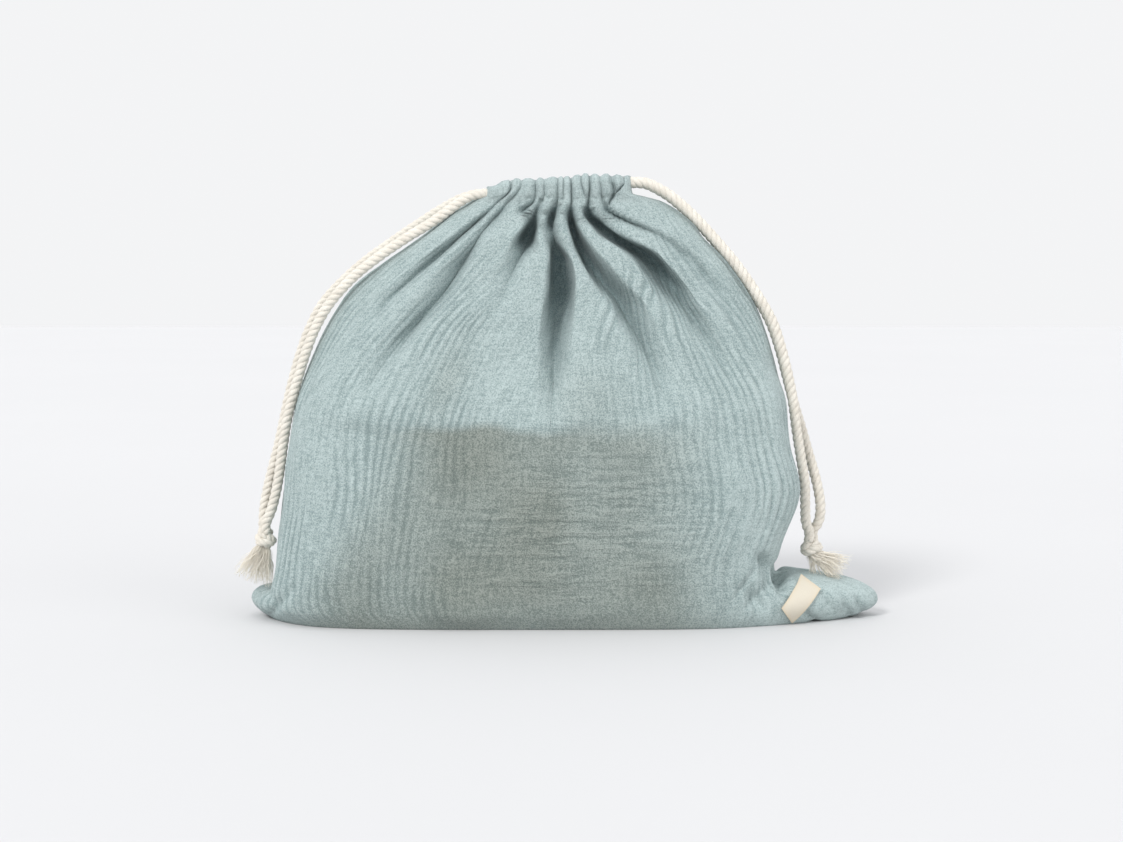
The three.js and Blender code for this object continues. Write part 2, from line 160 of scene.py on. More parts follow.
RIGHT_FRONT_ROUTE = [
    (38.2, -7.6, 202), (43.8, -7.9, 199.3), (50, -8.3, 195.3), (59, -9, 187.3), (69.6, -9.6, 175.9),
    (79.4, -10, 164.2), (88.6, -10.4, 151), (95.9, -10.4, 138.1), (100.3, -10.2, 124.9),
    (103.8, -9.8, 111), (105.9, -9.5, 99.7), (107.3, -9.4, 89), (109.3, -9.4, 76.5), (111.4, -9.2, 64),
    (111.8, -8.8, 53), (112.3, -8, 45),
]
RIGHT_BACK_ROUTE = [
    (38.2, 7.2, 202), (43.8, 6.8, 199.3), (50, 6.3, 195.3), (59, 5.6, 187.3), (69.6, 5, 175.9),
    (79.4, 4.4, 164.2), (88.6, 3.8, 151), (95.9, 3.2, 138.1), (100.6, 2.6, 124.9), (104.2, 1.6, 111),
    (107.2, 0.4, 99.7), (110.4, -0.6, 89), (114, -1.4, 76.5), (117.6, -2, 64), (119.6, -2.4, 53),
    (119, -2.6, 45),
]

# Filled body
BODY_HEIGHT = 0.191
NECK_DEPTH = 17.4 * MM
NECK_SQUARE = 5
FLAT_WIDTH = 0.300
FLAT_LENGTH = 0.285

# Outline from the floor up: height, left, right and depth in metres, and the corner's exponent
OUTLINE = np.array([
    (0.000, -0.1279, 0.1000, 0.0409, 4.0),
    (0.008, -0.1360, 0.1020, 0.0461, 4.0),
    (0.026, -0.1349, 0.0985, 0.0470, 4.0),
    (0.060, -0.1307, 0.1085, 0.0470, 4.0),
    (0.082, -0.1274, 0.1035, 0.0461, 3.8),
    (0.105, -0.1230, 0.1010, 0.0432, 3.4),
    (0.127, -0.1145, 0.0953, 0.0376, 3.0),
    (0.144, -0.1055, 0.0889, 0.0329, 2.8),
    (0.155, -0.0970, 0.0825, 0.0296, 2.8),
    (0.166, -0.0831, 0.0745, 0.0268, 3.0),
    (0.1775, -0.0660, 0.0639, 0.0230, 3.2),
    (0.183, -0.0592, 0.0600, 0.0211, 3.0),
    (0.1885, -0.0522, 0.0535, 0.0192, 2.8),
    (0.191, -0.0478, 0.0500, 0.0184, 2.6),
    (0.194, -0.0430, 0.0440, 0.0177, 2.6),
    (0.1965, -0.0385, 0.0360, NECK_DEPTH, 3.6),
    (0.198, -0.0362, 0.0312, NECK_DEPTH, NECK_SQUARE),
    (0.210, -0.0360, 0.0310, NECK_DEPTH, NECK_SQUARE),
])

# Bottom corners: how far each stands out, how thick it is, its middle height and half its height
RIGHT_EAR = (0.045, 0.036, 0.0085, 0.0125)
LEFT_EAR = (0.01175, 0.030, 0.0045, 0.0090)
EAR_BLUNTNESS = 0.58
EAR_FLARE = 2.4
EAR_SQUARENESS = 2.3
EAR_FULLNESS = 0.45

# Cloth grid
COLUMNS = 460
BASE_ROWS = 8
EAR_ROWS = 28
FACE_ROWS = 138
CASING_ROWS = 20
TOP_ROWS = 9
INSIDE_ROWS = 5
SECTION_SAMPLES = 3200
BASE_LIFT = 0.4 * MM

# Casing: the height of its top along its length, its mouth and the row of stitches under it
CASING_TOP = [
    (-0.0345, 0.2005), (-0.0315, 0.2016), (-0.0290, 0.2031), (-0.0251, 0.2036), (-0.0185, 0.2042),
    (-0.0137, 0.2046), (-0.0023, 0.2051), (0.0055, 0.2058), (0.0114, 0.2062), (0.0180, 0.2068),
    (0.0220, 0.2070), (0.0245, 0.2059), (0.0292, 0.2056), (0.0310, 0.2046),
]
CASING_FOOT = 0.194
CASING_HIGHEST = 0.207
CASING_SHOULDER = 0.2025
MOUTH_HALF = 2.4 * MM
MOUTH_CLOSED = 0.4 * MM
MOUTH_TAPER = 13 * MM
MOUTH_SHARE = 0.8
INSIDE_FOOT = 0.1955
TOP_DIP = 1.5 * MM
TOP_DIP_DEPTH = 2.5 * MM
TOP_UNEVEN = 0.35 * MM
TOP_UNEVEN_PITCH = 4 * MM
TOP_UNEVEN_SEED = 3
# Share of the painted fold shade that the casing gets
CASING_FOLD_SHADE = 0.2
STITCH_LEVEL = 0.1928
STITCH_WIDTH = 0.9 * MM
STITCH_PINCH = 0.02

# Folds of the front, from the top of the casing down, in millimetres:
# height, x, width of the left and right walls, and depth
FRONT_FOLDS = {
    "left_shoulder": [
        (206, -24.5, 1.6, 1.6, 6), (201, -24.8, 1.7, 1.8, 8), (198.5, -26, 1.9, 2.2, 8),
        (195.5, -28.6, 2.2, 2.4, 5), (191, -33, 3, 3, 4.5), (188, -36, 3.6, 3.4, 6),
        (181, -44, 5, 5, 7.5), (174, -52, 6, 6, 8), (167, -60, 7, 7, 7), (158, -70, 8, 8, 6),
        (148, -81, 9, 9, 4), (136, -91, 9, 9, 0),
    ],
    "left_valley": [
        (206, -19.5, 1.6, 1.6, 3), (202.5, -20, 1.6, 1.7, 3.5), (198.5, -22, 1.8, 2, 4),
        (195.5, -24.5, 2, 2, 4.5), (189, -29.5, 3, 2.4, 6.5), (184, -34, 4.2, 3, 5.5),
        (178, -38.6, 6, 3.4, 5), (171, -43, 8, 4.2, 8), (164, -47.4, 11, 5, 10.5), (156, -52, 13, 6, 11),
        (147, -59, 13, 8, 11), (138, -67, 12, 9, 10), (126, -77, 12, 10, 6), (113, -86, 12, 12, 3),
        (101, -92, 12, 12, 0),
    ],
    "slit": [
        (206, -13.4, 1.4, 1.4, 5), (196.5, -13.4, 1.4, 1.4, 6.5), (193, -14.4, 1.6, 1.6, 10),
        (191, -16.9, 2.2, 2.2, 15), (189.2, -19, 2.2, 2.2, 9), (186.8, -21, 2, 2, 0),
    ],
    "pocket": [
        (206, -9.3, 1.4, 1.4, 3), (196.5, -9.5, 1.5, 1.5, 3.5), (194, -11, 1.6, 1.6, 4),
        (190.4, -12.8, 1.7, 1.6, 6), (187, -13.8, 2.4, 2, 12), (184, -14.6, 3.6, 2.6, 26),
        (180.5, -15.6, 5.4, 3.4, 44), (177.5, -16.6, 7, 4, 46), (174.5, -17.4, 7.6, 4.8, 34),
        (171, -18.6, 8, 5.4, 20), (167, -20.8, 9, 6, 11), (160, -24.3, 11, 7, 6), (151, -28, 12, 9, 3),
        (138, -32, 12, 10, 0),
    ],
    "middle": [
        (206, -3.1, 1.5, 1.5, 3.5), (196.3, -3.2, 1.5, 1.5, 5), (192.5, -3.6, 1.7, 1.5, 12),
        (188, -5.2, 2.6, 1.6, 22), (184, -6.3, 2.4, 1.6, 19), (180, -5.6, 1.8, 1.7, 12),
        (176.5, -4.8, 2, 2.2, 14), (172.5, -4, 3.2, 3.6, 28), (168, -3, 5, 5.4, 44),
        (163, -2.6, 6.2, 6.4, 50), (156, -2.4, 6.8, 7, 48), (149, -2.6, 7, 7.4, 38),
        (141, -3.2, 7.4, 7.8, 27), (131, -4.2, 7.8, 8.5, 18), (119, -4.6, 8.6, 9.5, 12),
        (107, -5.6, 9.2, 10, 7), (95, -6.4, 9, 10, 2), (88, -6.6, 9, 10, 0),
    ],
    "small": [(206, -0.6, 1.1, 1.1, 2.5), (196, -0.9, 1.1, 1.1, 2.5), (192, -0.8, 1, 1, 0)],
    "right_of_middle": [
        (206, 2.7, 1.5, 1.5, 5), (195.5, 3, 1.6, 1.5, 8), (190.5, 2.4, 1.8, 2, 12),
        (187, 2.3, 1.9, 2.8, 24), (183, 2.8, 2.2, 3.4, 38), (177.5, 4.6, 2.6, 4.6, 44),
        (171, 7.6, 3, 7, 48), (164.6, 11, 3.2, 9.5, 44), (156, 17.2, 3.8, 11, 36),
        (147.5, 24.2, 4.8, 12, 28), (139.5, 28.6, 6, 13, 21), (131, 33.8, 7.6, 13, 15),
        (121, 38.4, 9, 13, 10), (110, 42.6, 10, 12, 5), (98, 46, 10, 12, 0),
    ],
    "between": [
        (206, 6.6, 1.4, 1.4, 4), (199.7, 8.3, 1.4, 1.4, 4), (195, 9.6, 1.3, 1.1, 3), (191, 10.5, 1, 1, 0),
    ],
    "long": [
        (206, 11.4, 1.6, 1.5, 6), (199.7, 11.2, 1.7, 1.5, 7.5), (193.8, 10.6, 1.8, 1.7, 12),
        (189.6, 10.4, 2.6, 1.9, 24), (187, 11.5, 3.6, 2.2, 34), (184, 14.8, 5, 2.4, 42),
        (181, 18.2, 6, 2.6, 46), (177.5, 23.3, 8, 2.9, 50), (174, 30, 9, 3.2, 50), (171, 36, 10, 3.4, 50),
        (167, 40.4, 10, 3.8, 50), (161, 45, 10, 4.6, 46), (155, 49.2, 10, 5.6, 36),
        (148, 53.2, 11, 7, 21), (139.5, 59.1, 12, 9, 12), (132, 64, 12, 10, 7), (122, 70, 12, 11, 4),
        (108, 76, 12, 11, 0),
    ],
    "under_the_end": [
        (206, 15.8, 1.6, 1.6, 3.5), (199.7, 16.5, 1.7, 1.7, 4.5), (194.7, 17.3, 1.9, 1.8, 8),
        (189.8, 19.6, 2.6, 2.2, 11), (187.5, 22.5, 3.6, 2.8, 12), (184, 29.5, 6, 4.4, 7),
        (178.5, 42, 8, 6.5, 4), (173, 50, 9, 8, 4.5), (165, 59.4, 10, 9, 5), (154, 69.3, 11, 9, 4),
        (144, 77, 11, 9, 2), (132, 84, 11, 9, 0),
    ],
    "flap": [
        (207, 20.8, 1.4, 1.4, 7), (202.3, 21.7, 1.7, 1.6, 11), (199.3, 22.8, 2.1, 1.7, 13),
        (195.5, 21.6, 2, 2.6, 13), (193.2, 20.4, 1.6, 1.8, 8), (190.5, 19.8, 1, 1, 0),
    ],
    "flap_diagonal": [
        (203.8, 28, 1.2, 1.2, 0), (201.5, 26.4, 1.4, 1.4, 5), (199, 24.4, 1.6, 1.6, 9),
        (196.5, 22.6, 1.6, 1.6, 9), (194, 20.8, 1.2, 1.2, 0),
    ],
}
BACK_FOLDS = {
    "first": [
        (206, -28, 1.6, 1.6, 6), (195, -28.5, 1.8, 2, 8), (188, -34, 3, 3, 8), (176, -46, 6, 5, 8),
        (160, -62, 9, 7, 6), (144, -76, 12, 9, 3), (126, -86, 14, 12, 0),
    ],
    "second": [
        (206, -20, 1.6, 1.6, 6), (193, -20, 1.8, 1.8, 9), (180, -27, 3, 3, 13), (165, -38, 7, 5, 12),
        (145, -50, 12, 9, 7), (118, -62, 12, 12, 0),
    ],
    "third": [
        (206, -12, 1.5, 1.5, 6), (193, -12, 1.6, 1.8, 10), (179, -13.5, 2.6, 2, 16), (164, -20, 7, 4, 15),
        (144, -26, 11, 9, 8), (112, -32, 12, 12, 0),
    ],
    "fourth": [
        (206, -5, 1.3, 1.3, 5), (194, -5, 1.3, 1.3, 7), (184, -4, 1.4, 1.4, 5), (177, -3, 1.2, 1.2, 0),
    ],
    "fifth": [
        (206, 1, 1.6, 1.6, 6), (193, 1, 1.8, 1.6, 10), (180, 2.5, 2, 2, 15), (166, 4, 4, 6, 20),
        (150, 6, 7, 8, 14), (132, 8, 10, 11, 7), (106, 9, 12, 12, 0),
    ],
    "sixth": [
        (206, 8, 1.5, 1.5, 6), (193, 8.5, 1.6, 1.6, 10), (181, 14, 3, 2.4, 15), (168, 24, 6, 4, 15),
        (150, 34, 9, 9, 8), (130, 42, 11, 11, 3), (112, 47, 12, 12, 0),
    ],
    "seventh": [
        (206, 15, 1.6, 1.6, 6), (194, 16, 1.8, 1.8, 9), (184, 25, 4, 3, 11), (170, 43, 8, 6, 10),
        (153, 57, 11, 9, 5), (130, 69, 12, 12, 0),
    ],
    "eighth": [
        (206, 23, 1.6, 1.6, 6), (193, 24, 2, 2, 8), (185, 37, 4, 4, 7), (172, 56, 8, 7, 5),
        (156, 71, 10, 9, 2.5), (140, 80, 10, 9, 0),
    ],
}
# Share of a valley's width that is its flat floor, where the fold is deep, and how sharp the ridges are
FOLD_FLOORS = {"pocket": 0.25, "middle": 0.34, "right_of_middle": 0.05, "long": 0.15}
DEEP_FROM = 12 * MM
DEEP_TO = 40 * MM
STEEPEST = 0.8
SHARPNESS_BODY = 2.1
SHARPNESS_CASING = 2.9
SHARPENS = (0.190, 0.196)
FOLD_REACH = 5.5 * MM
FOLD_SHARE_BODY = 0.88
FOLD_SHARE_CASING = 0.33
FOLD_SHARE_FALLS = (0.184, 0.191)
FOLD_FADE_CASING = 0.6
FOLD_FADES = (0.187, 0.193)

# Dents round the bottom corners and puckers along the stitches, in millimetres:
# x, height, half width, half height, lean in degrees and depth
FRONT_DENTS = [
    (99, 20.5, 2.8, 5.6, -10, 5.2), (91, 30, 2.2, 5.2, -42, 4), (86.5, 13.5, 2.6, 6, -35, 3.4),
    (92, 23.5, 1.9, 6.5, -6, 3), (81.5, 20.5, 1.4, 7.5, 36, 1.5), (87.5, 14.5, 1.4, 7, 43, 1.5),
    (112, 3.5, 1.9, 6, -50, 2.4), (123, 8, 1.7, 6, -38, 2.4), (130.5, 6, 1.6, 5.5, -30, 2.6),
    (137.5, 7, 1.5, 5, -22, 2.6), (118, 15.5, 2.4, 1.6, 10, 1.4), (-133, 8, 2, 6, 35, 2.2),
    (-126, 16, 2.5, 7, 40, 2), (-104.5, 13.2, 0.9, 3.2, -50, 1.1), (-29.5, 192, 0.8, 1.6, 60, 1.2),
    (-20.8, 192.5, 0.8, 1.4, 40, 1.1), (-11.3, 194.2, 0.7, 1.3, -60, 1.2),
    (-7.2, 195.2, 0.7, 1.5, 70, 1.2), (-1.8, 194.6, 0.6, 1.2, -75, 1), (5.4, 194.4, 0.7, 1.3, 70, 1),
    (13.6, 194.8, 0.7, 1.4, -65, 1), (18.6, 195.4, 0.7, 1.3, 70, 1), (-16.6, 195, 0.7, 1.3, 65, 1),
]
BACK_DENTS = [
    (99, 20, 3.5, 7, -12, 5.5), (88, 27, 3, 7, -45, 3), (118, 7, 1.6, 6, -40, 1.6),
    (130, 7, 1.5, 5, -30, 1.5), (-132, 9, 2, 6, 35, 2.4), (-124, 20, 3, 8, 45, 2.2),
]

# Where the packing ends, the cloth breaks over its edge along a soft line and stands out in a ledge
PACKING_LINE = [
    (-0.125, 0.0905), (-0.075, 0.0912), (-0.038, 0.0934), (-0.010, 0.0903), (0.016, 0.0900),
    (0.060, 0.0912), (0.100, 0.0921),
]
LEDGE_HEIGHT = 2.0 * MM
LEDGE_MIDDLE = -0.010
LEDGE_ENDS = (0.116, 0.076)
LEDGE_WEAKER = (0.010, 0.040)

# Painted shade of the packing, greyed into the cloth's colour: below that line, and fainter in two patches
# above it, which are given as the dents are, with how dark each is. The shade grows wider towards the
# floor.
SHADE_WIDENS = (0.085, 0)
SHADE_LEFT = (-0.095, -0.050)
SHADE_LEFT_WIDER = 0.040
SHADE_MIDDLE = (-0.010, 0.010)
SHADE_RIGHT = (0.022, 0.077)
SHADE_RIGHT_WIDER = 0.016
SHADE_SOFTENS = (-0.005, 0.020)
PAINTED_PACKING_SHADES = [(-53, 112, 8, 20, 25, 0.34), (10, 104, 16, 15, 8, 0.36)]
# The back gets only this share of the packing's painted shade
BACK_PAINTED_SHADE = 0.5

# Crinkles of the double gauze
RIB_PITCH = 4.6 * MM
RIB_HEIGHT = 0.55 * MM
WEAVE_PITCH = 0.62 * MM
GRAIN_SIZE = 0.62 * MM
THREAD_WANDER = 1.6 * MM

# Uneven ribs and soft bulges, each as its height and its pitch across and up the cloth
RIB_WANDER = [(2.6 * MM, 0.021, 0.050), (1.2 * MM, 0.008, 0.021)]
SOFT_BULGES = [(1.2 * MM, 0.024, 0.042), (0.55 * MM, 0.009, 0.016)]

# Streaks of the crinkles, as how many a metre there are across the cloth and up it
UPRIGHT_STREAKS = (720, 110)
LEVEL_STREAKS = (48, 430)
SHORT_STREAKS = (150, 760)

# Where the level streaks lie on the flat cloth, as shares of it: the middle and half the width
LEVEL_ACROSS = (0.56, 0.20)
LEVEL_UP = (0.30, 0.13)

# Where the crinkles and the painted light change: each pair is where a change starts and where it is
# complete
LOW_MIDDLE_TOP = (0.105, 0.085)
HIGH_MIDDLE_FOOT = (0.080, 0.100)
CORNER_ROOT = (0.100, 0.108)
CORNER_TOP = (0.030, 0.024)
RIBS_FADE = (0.150, 0.190)
BULGES_FADE = (0.165, 0.185)
BASE_EDGE = (0.035, 0.045)
FLANK_LIGHT_FROM = (0.072, 0.092)
FLANK_LIGHT_TOP = (0.125, 0.105)
CASING_LIGHT_FROM = (0.191, 0.194)

# Painted light: the cloth is made paler in the right corner, in the casing, and at the right side where it
# is free of the packing
PAINTED_LIGHT_PALER = 0.45
FLANK_LIGHT_SHARE = 0.8

# The side seams: a low ridge, placed in columns of the cloth from its edge
SEAM_COLUMNS = 7
SEAM_RIDGE = 0.35 * MM
SEAM_RIDGE_AT = 5
SEAM_RIDGE_WIDTH = 2.5

# Label, sewn to the front of the right corner: the x and height of its low, right, top and left corners,
# how worn its edge is, how many percent of it clear the cloth in its first bend, and how often that bend
# is smoothed
LABEL_CORNERS = np.array([(0.1040, 0.0011), (0.1176, 0.0153), (0.1092, 0.0212), (0.0984, 0.0086)])
LABEL_LIFT = 0.35 * MM
LABEL_THICKNESS = 0.5 * MM
LABEL_ROWS = 29
LABEL_COLUMNS = 17
LABEL_WORN = 0.55
LABEL_CLEAR = 92
LABEL_SMOOTHINGS = 6

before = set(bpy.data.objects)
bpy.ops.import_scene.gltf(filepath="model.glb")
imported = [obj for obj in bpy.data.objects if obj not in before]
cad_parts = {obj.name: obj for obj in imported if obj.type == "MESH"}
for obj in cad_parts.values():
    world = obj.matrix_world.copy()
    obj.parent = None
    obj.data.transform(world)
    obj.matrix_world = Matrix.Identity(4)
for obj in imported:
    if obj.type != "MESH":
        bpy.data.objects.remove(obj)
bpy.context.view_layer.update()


def smooth(t):
    t = np.clip(t, 0, 1)
    return t * t * (3 - 2 * t)


def fade(value, start, end):
    """From 0 at the start to 1 at the end, smoothly. The end may be the lower of the two."""
    return smooth((value - start) / (end - start))


def spline(points, step):
    """Points at even steps along a smooth curve through the given ones."""
    given = np.array(points, float)
    padded = np.vstack([2 * given[0] - given[1], given, 2 * given[-1] - given[-2]])
    t = np.linspace(0, 1, 24, endpoint=False)[:, None]
    parts = []
    for a, b, c, d in zip(padded, padded[1:], padded[2:], padded[3:]):
        bend = (2 * a - 5 * b + 4 * c - d) * t**2 + (3 * b - a - 3 * c + d) * t**3
        parts.append(0.5 * (2 * b + (c - a) * t + bend))
    fine = np.vstack([*parts, given[-1:]])
    return even(fine, step)


def distances(line):
    """How far along a polyline each of its points lies."""
    return np.concatenate([[0], np.cumsum(np.linalg.norm(np.diff(line, axis=0), axis=1))])


def even(line, step):
    """The same polyline with points at even steps."""
    along = distances(line)
    count = max(2, round(along[-1] / step))
    wanted = np.linspace(0, along[-1], count + 1)
    return np.column_stack([np.interp(wanted, along, line[:, k]) for k in range(line.shape[1])])


def unit(vectors):
    return vectors / np.linalg.norm(vectors, axis=-1, keepdims=True)


def noise(u, v, seed):
    """Smooth noise from -1 to 1 whose cells are one unit wide."""
    table = np.random.default_rng(seed).uniform(-1, 1, (256, 256))
    i, j = np.floor(u).astype(int), np.floor(v).astype(int)
    a, b = smooth(u - i), smooth(v - j)

    def corner(m, n):
        return table[(i + m) % 256, (j + n) % 256]

    near = corner(0, 0) * (1 - a) + corner(1, 0) * a
    far = corner(0, 1) * (1 - a) + corner(1, 1) * a
    return near * (1 - b) + far * b


def waves(kinds, u, v, seed):
    """A sum of noises, each given as its height and its pitch across and up the cloth."""
    return sum(height * noise(u / wide, v / tall, seed + i) for i, (height, wide, tall) in enumerate(kinds))


# Node trees


def node(tree, kind, inputs=None, **settings):
    made = tree.nodes.new(kind)
    for name, value in settings.items():
        setattr(made, name, value)
    for key, value in (inputs or {}).items():
        if isinstance(value, bpy.types.NodeSocket):
            tree.links.new(value, made.inputs[key])
        else:
            made.inputs[key].default_value = value
    return made


def math_node(tree, operation, *values):
    return node(tree, "ShaderNodeMath", dict(enumerate(values)), operation=operation).outputs[0]


def vector_node(tree, operation, *values):
    return node(tree, "ShaderNodeVectorMath", dict(enumerate(values)), operation=operation).outputs[0]


def noise_node(tree, place, scale, detail=2, roughness=0.5):
    inputs = {"Vector": place, "Scale": scale, "Detail": detail, "Roughness": roughness}
    return node(tree, "ShaderNodeTexNoise", inputs)


def point_value(tree, name):
    return node(tree, "ShaderNodeAttribute", attribute_name=name).outputs[2]


def streaks(tree, place, across, up):
    """Noise that is drawn out into streaks, with so many of them a metre across the cloth and up it."""
    stretched = node(tree, "ShaderNodeMapping", {0: place, 3: (across, up, 1)}).outputs[0]
    return noise_node(tree, stretched, 1).outputs[0]


def mix_colour(tree, share, a, b, blend="MIX"):
    made = node(tree, "ShaderNodeMix", data_type="RGBA", blend_type=blend)
    for key, value in ((0, share), (6, a), (7, b)):
        if isinstance(value, bpy.types.NodeSocket):
            tree.links.new(value, made.inputs[key])
        else:
            made.inputs[key].default_value = value if key == 0 else (*value, 1)
    return made.outputs[2]


def bell(tree, value, middle, width):
    """A smooth bump from 0 to 1 round a value."""
    away = math_node(tree, "DIVIDE", math_node(tree, "SUBTRACT", value, middle), width)
    square = math_node(tree, "MULTIPLY", away, away)
    return math_node(tree, "POWER", math.e, math_node(tree, "MULTIPLY", square, -1))


def new_material(name):
    """A material with its node tree and its shader."""
    material = bpy.data.materials.new(name)
    material.use_nodes = True
    tree = material.node_tree
    return material, tree, tree.nodes["Principled BSDF"]


def surface(tree, shader, colour, height, strength, distance):
    """Give the shader its colour, and a bump of this height."""
    inputs = {"Height": height, "Strength": strength, "Distance": distance}
    bump = node(tree, "ShaderNodeBump", inputs).outputs[0]
    tree.links.new(colour, shader.inputs["Base Color"])
    tree.links.new(bump, shader.inputs["Normal"])


def cloth_material():
    """Double gauze: a plain weave, puckered into small crinkles, with a soft nap. Its colour holds painted
    shade in the creases, the folds and over the packing, and painted light where it is made paler.
    """
    material, tree, shader = new_material("double_gauze")
    laid_out = node(tree, "ShaderNodeUVMap", uv_map="OFBake").outputs[0]
    flat = vector_node(tree, "MULTIPLY", laid_out, (FLAT_WIDTH, FLAT_LENGTH, 1))
    shift = vector_node(tree, "SUBTRACT", noise_node(tree, flat, 240).outputs[1], (0.5, 0.5, 0.5))
    shift = vector_node(tree, "MULTIPLY", shift, (THREAD_WANDER, THREAD_WANDER, THREAD_WANDER))
    bent = vector_node(tree, "ADD", flat, shift)
    apart = node(tree, "ShaderNodeSeparateXYZ", {0: bent})
    threads = 2 * math.pi / WEAVE_PITCH
    warp = math_node(tree, "SINE", math_node(tree, "MULTIPLY", apart.outputs[0], threads))
    weft = math_node(tree, "SINE", math_node(tree, "MULTIPLY", apart.outputs[1], threads))
    weave = math_node(tree, "MULTIPLY", warp, weft)
    solid = node(tree, "ShaderNodeTexCoord").outputs["Object"]
    grain = noise_node(tree, solid, 1 / GRAIN_SIZE, 2, 0.65).outputs[0]
    upright = streaks(tree, bent, *UPRIGHT_STREAKS)
    level = streaks(tree, bent, *LEVEL_STREAKS)
    short = streaks(tree, bent, *SHORT_STREAKS)
    patches = noise_node(tree, flat, 45, 3, 0.55).outputs[0]
    crease, packing_painted_shade, hollow = (point_value(tree, name) for name in ("crease", "packing_painted_shade", "hollow"))
    place = node(tree, "ShaderNodeSeparateXYZ", {0: laid_out})
    across, up = bell(tree, place.outputs[0], *LEVEL_ACROSS), bell(tree, place.outputs[1], *LEVEL_UP)
    level_share = math_node(tree, "MULTIPLY", across, up)
    level = math_node(tree, "MULTIPLY", math_node(tree, "SUBTRACT", level, 0.5), level_share)
    # The grain shows stronger where the packing's shade is painted
    grain_strength = math_node(tree, "MULTIPLY_ADD", packing_painted_shade, 1.6, 2.9)
    tone = math_node(tree, "MULTIPLY_ADD", weave, 0.10, 0.55)
    for pattern, strength in ((grain, grain_strength), (upright, 0.9), (short, 0.8), (patches, 0.5)):
        tone = math_node(tree, "MULTIPLY_ADD", math_node(tree, "SUBTRACT", pattern, 0.5), strength, tone)
    # Painted shade: the creases darken the tone, and where the crease value is below zero, painted light
    # pales it
    for pattern, strength in ((level, 2.3), (crease, -0.42)):
        tone = math_node(tree, "MULTIPLY_ADD", pattern, strength, tone)
    tone = node(tree, "ShaderNodeClamp", {0: tone}).outputs[0]
    colour = mix_colour(tree, tone, CLOTH_DARK, CLOTH_LIGHT)
    # Painted shade of the packing, multiplied into the colour
    colour = mix_colour(tree, packing_painted_shade, colour, CLOTH_PACKING_SHADE, "MULTIPLY")
    # Painted shade deep in the folds, by how hollow the cloth is there
    colour = mix_colour(tree, hollow, colour, CLOTH_FOLD_SHADE, "MULTIPLY")
    height = math_node(tree, "MULTIPLY", grain, 0.8)
    for pattern, strength in ((weave, 0.10), (upright, 0.5), (short, 0.4), (level, 3.4)):
        height = math_node(tree, "MULTIPLY_ADD", pattern, strength, height)
    surface(tree, shader, colour, height, 0.7, 0.8 * MM)
    shader.inputs["Roughness"].default_value = 0.95
    shader.inputs["Specular IOR Level"].default_value = 0.12
    shader.inputs["Sheen Weight"].default_value = 0.2
    shader.inputs["Sheen Roughness"].default_value = 0.5
    shader.inputs["Sheen Tint"].default_value = (*CLOTH_SHEEN, 1)
    return material


def cotton_material(name, light, dark):
    """Undyed cotton: fibres along the yarns, and flecks of seed and shade between them."""
    material, tree, shader = new_material(name)
    place = node(tree, "ShaderNodeTexCoord").outputs["Object"]
    fibres = noise_node(tree, place, 2600, 3, 0.6).outputs[0]
    patches = noise_node(tree, place, 180).outputs[0]
    tone = math_node(tree, "MULTIPLY_ADD", fibres, 0.7, math_node(tree, "MULTIPLY", patches, 0.6))
    tone = node(tree, "ShaderNodeMapRange", {0: tone, 1: 0.4, 2: 0.85}).outputs[0]
    surface(tree, shader, mix_colour(tree, tone, dark, light), fibres, 0.5, 0.3 * MM)
    shader.inputs["Roughness"].default_value = 0.9
    shader.inputs["Specular IOR Level"].default_value = 0.2
    shader.inputs["Sheen Weight"].default_value = 0.35
    shader.inputs["Sheen Roughness"].default_value = 0.4
    return material


def tape_material():
    """A plain woven tape with the fine ribs of its warp, and a worn, darker edge."""
    material, tree, shader = new_material("label_tape")
    flat = node(tree, "ShaderNodeUVMap", uv_map="OFBake").outputs[0]
    inputs = {"Vector": flat, "Scale": 14, "Distortion": 0.6, "Detail": 1, "Detail Scale": 3}
    ribs = node(tree, "ShaderNodeTexWave", inputs, bands_direction="Y").outputs[1]
    grain = noise_node(tree, flat, 60, 3).outputs[0]
    tone = math_node(tree, "MULTIPLY_ADD", ribs, 0.3, math_node(tree, "MULTIPLY", grain, 0.9))
    colour = mix_colour(tree, tone, LABEL_DARK, LABEL_LIGHT)
    colour = mix_colour(tree, point_value(tree, "edge"), colour, LABEL_EDGE)
    surface(tree, shader, colour, ribs, 0.4, 0.2 * MM)
    shader.inputs["Roughness"].default_value = 0.75
    shader.inputs["Sheen Weight"].default_value = 0.1
    return material


def floor_material():
    """A pale, matt floor, a little uneven in its tone."""
    material, tree, shader = new_material("pale_floor")
    grain = noise_node(tree, node(tree, "ShaderNodeTexCoord").outputs["Object"], 3).outputs[0]
    shade = tuple(0.97 * c for c in FLOOR)
    tree.links.new(mix_colour(tree, grain, shade, FLOOR), shader.inputs["Base Color"])
    shader.inputs["Roughness"].default_value = 0.8
    return material


def mesh_object(name, points, faces, material, smooth_faces=True):
    mesh = bpy.data.meshes.new(name)
    mesh.from_pydata([tuple(p) for p in points], [], faces)
    mesh.materials.append(material)
    if smooth_faces:
        mesh.shade_smooth()
    made = bpy.data.objects.new(name, mesh)
    bpy.context.scene.collection.objects.link(made)
    return made


def grid_faces(rows, columns, closed=False, start=0):
    """Quads of a grid of points, closed round its columns if asked."""
    r, c = np.meshgrid(np.arange(rows - 1), np.arange(columns if closed else columns - 1), indexing="ij")
    after = (c + 1) % columns
    low, high = start + r * columns, start + (r + 1) * columns
    return np.stack([low + c, low + after, high + after, high + c], -1).reshape(-1, 4).tolist()


# Camera, light and floor

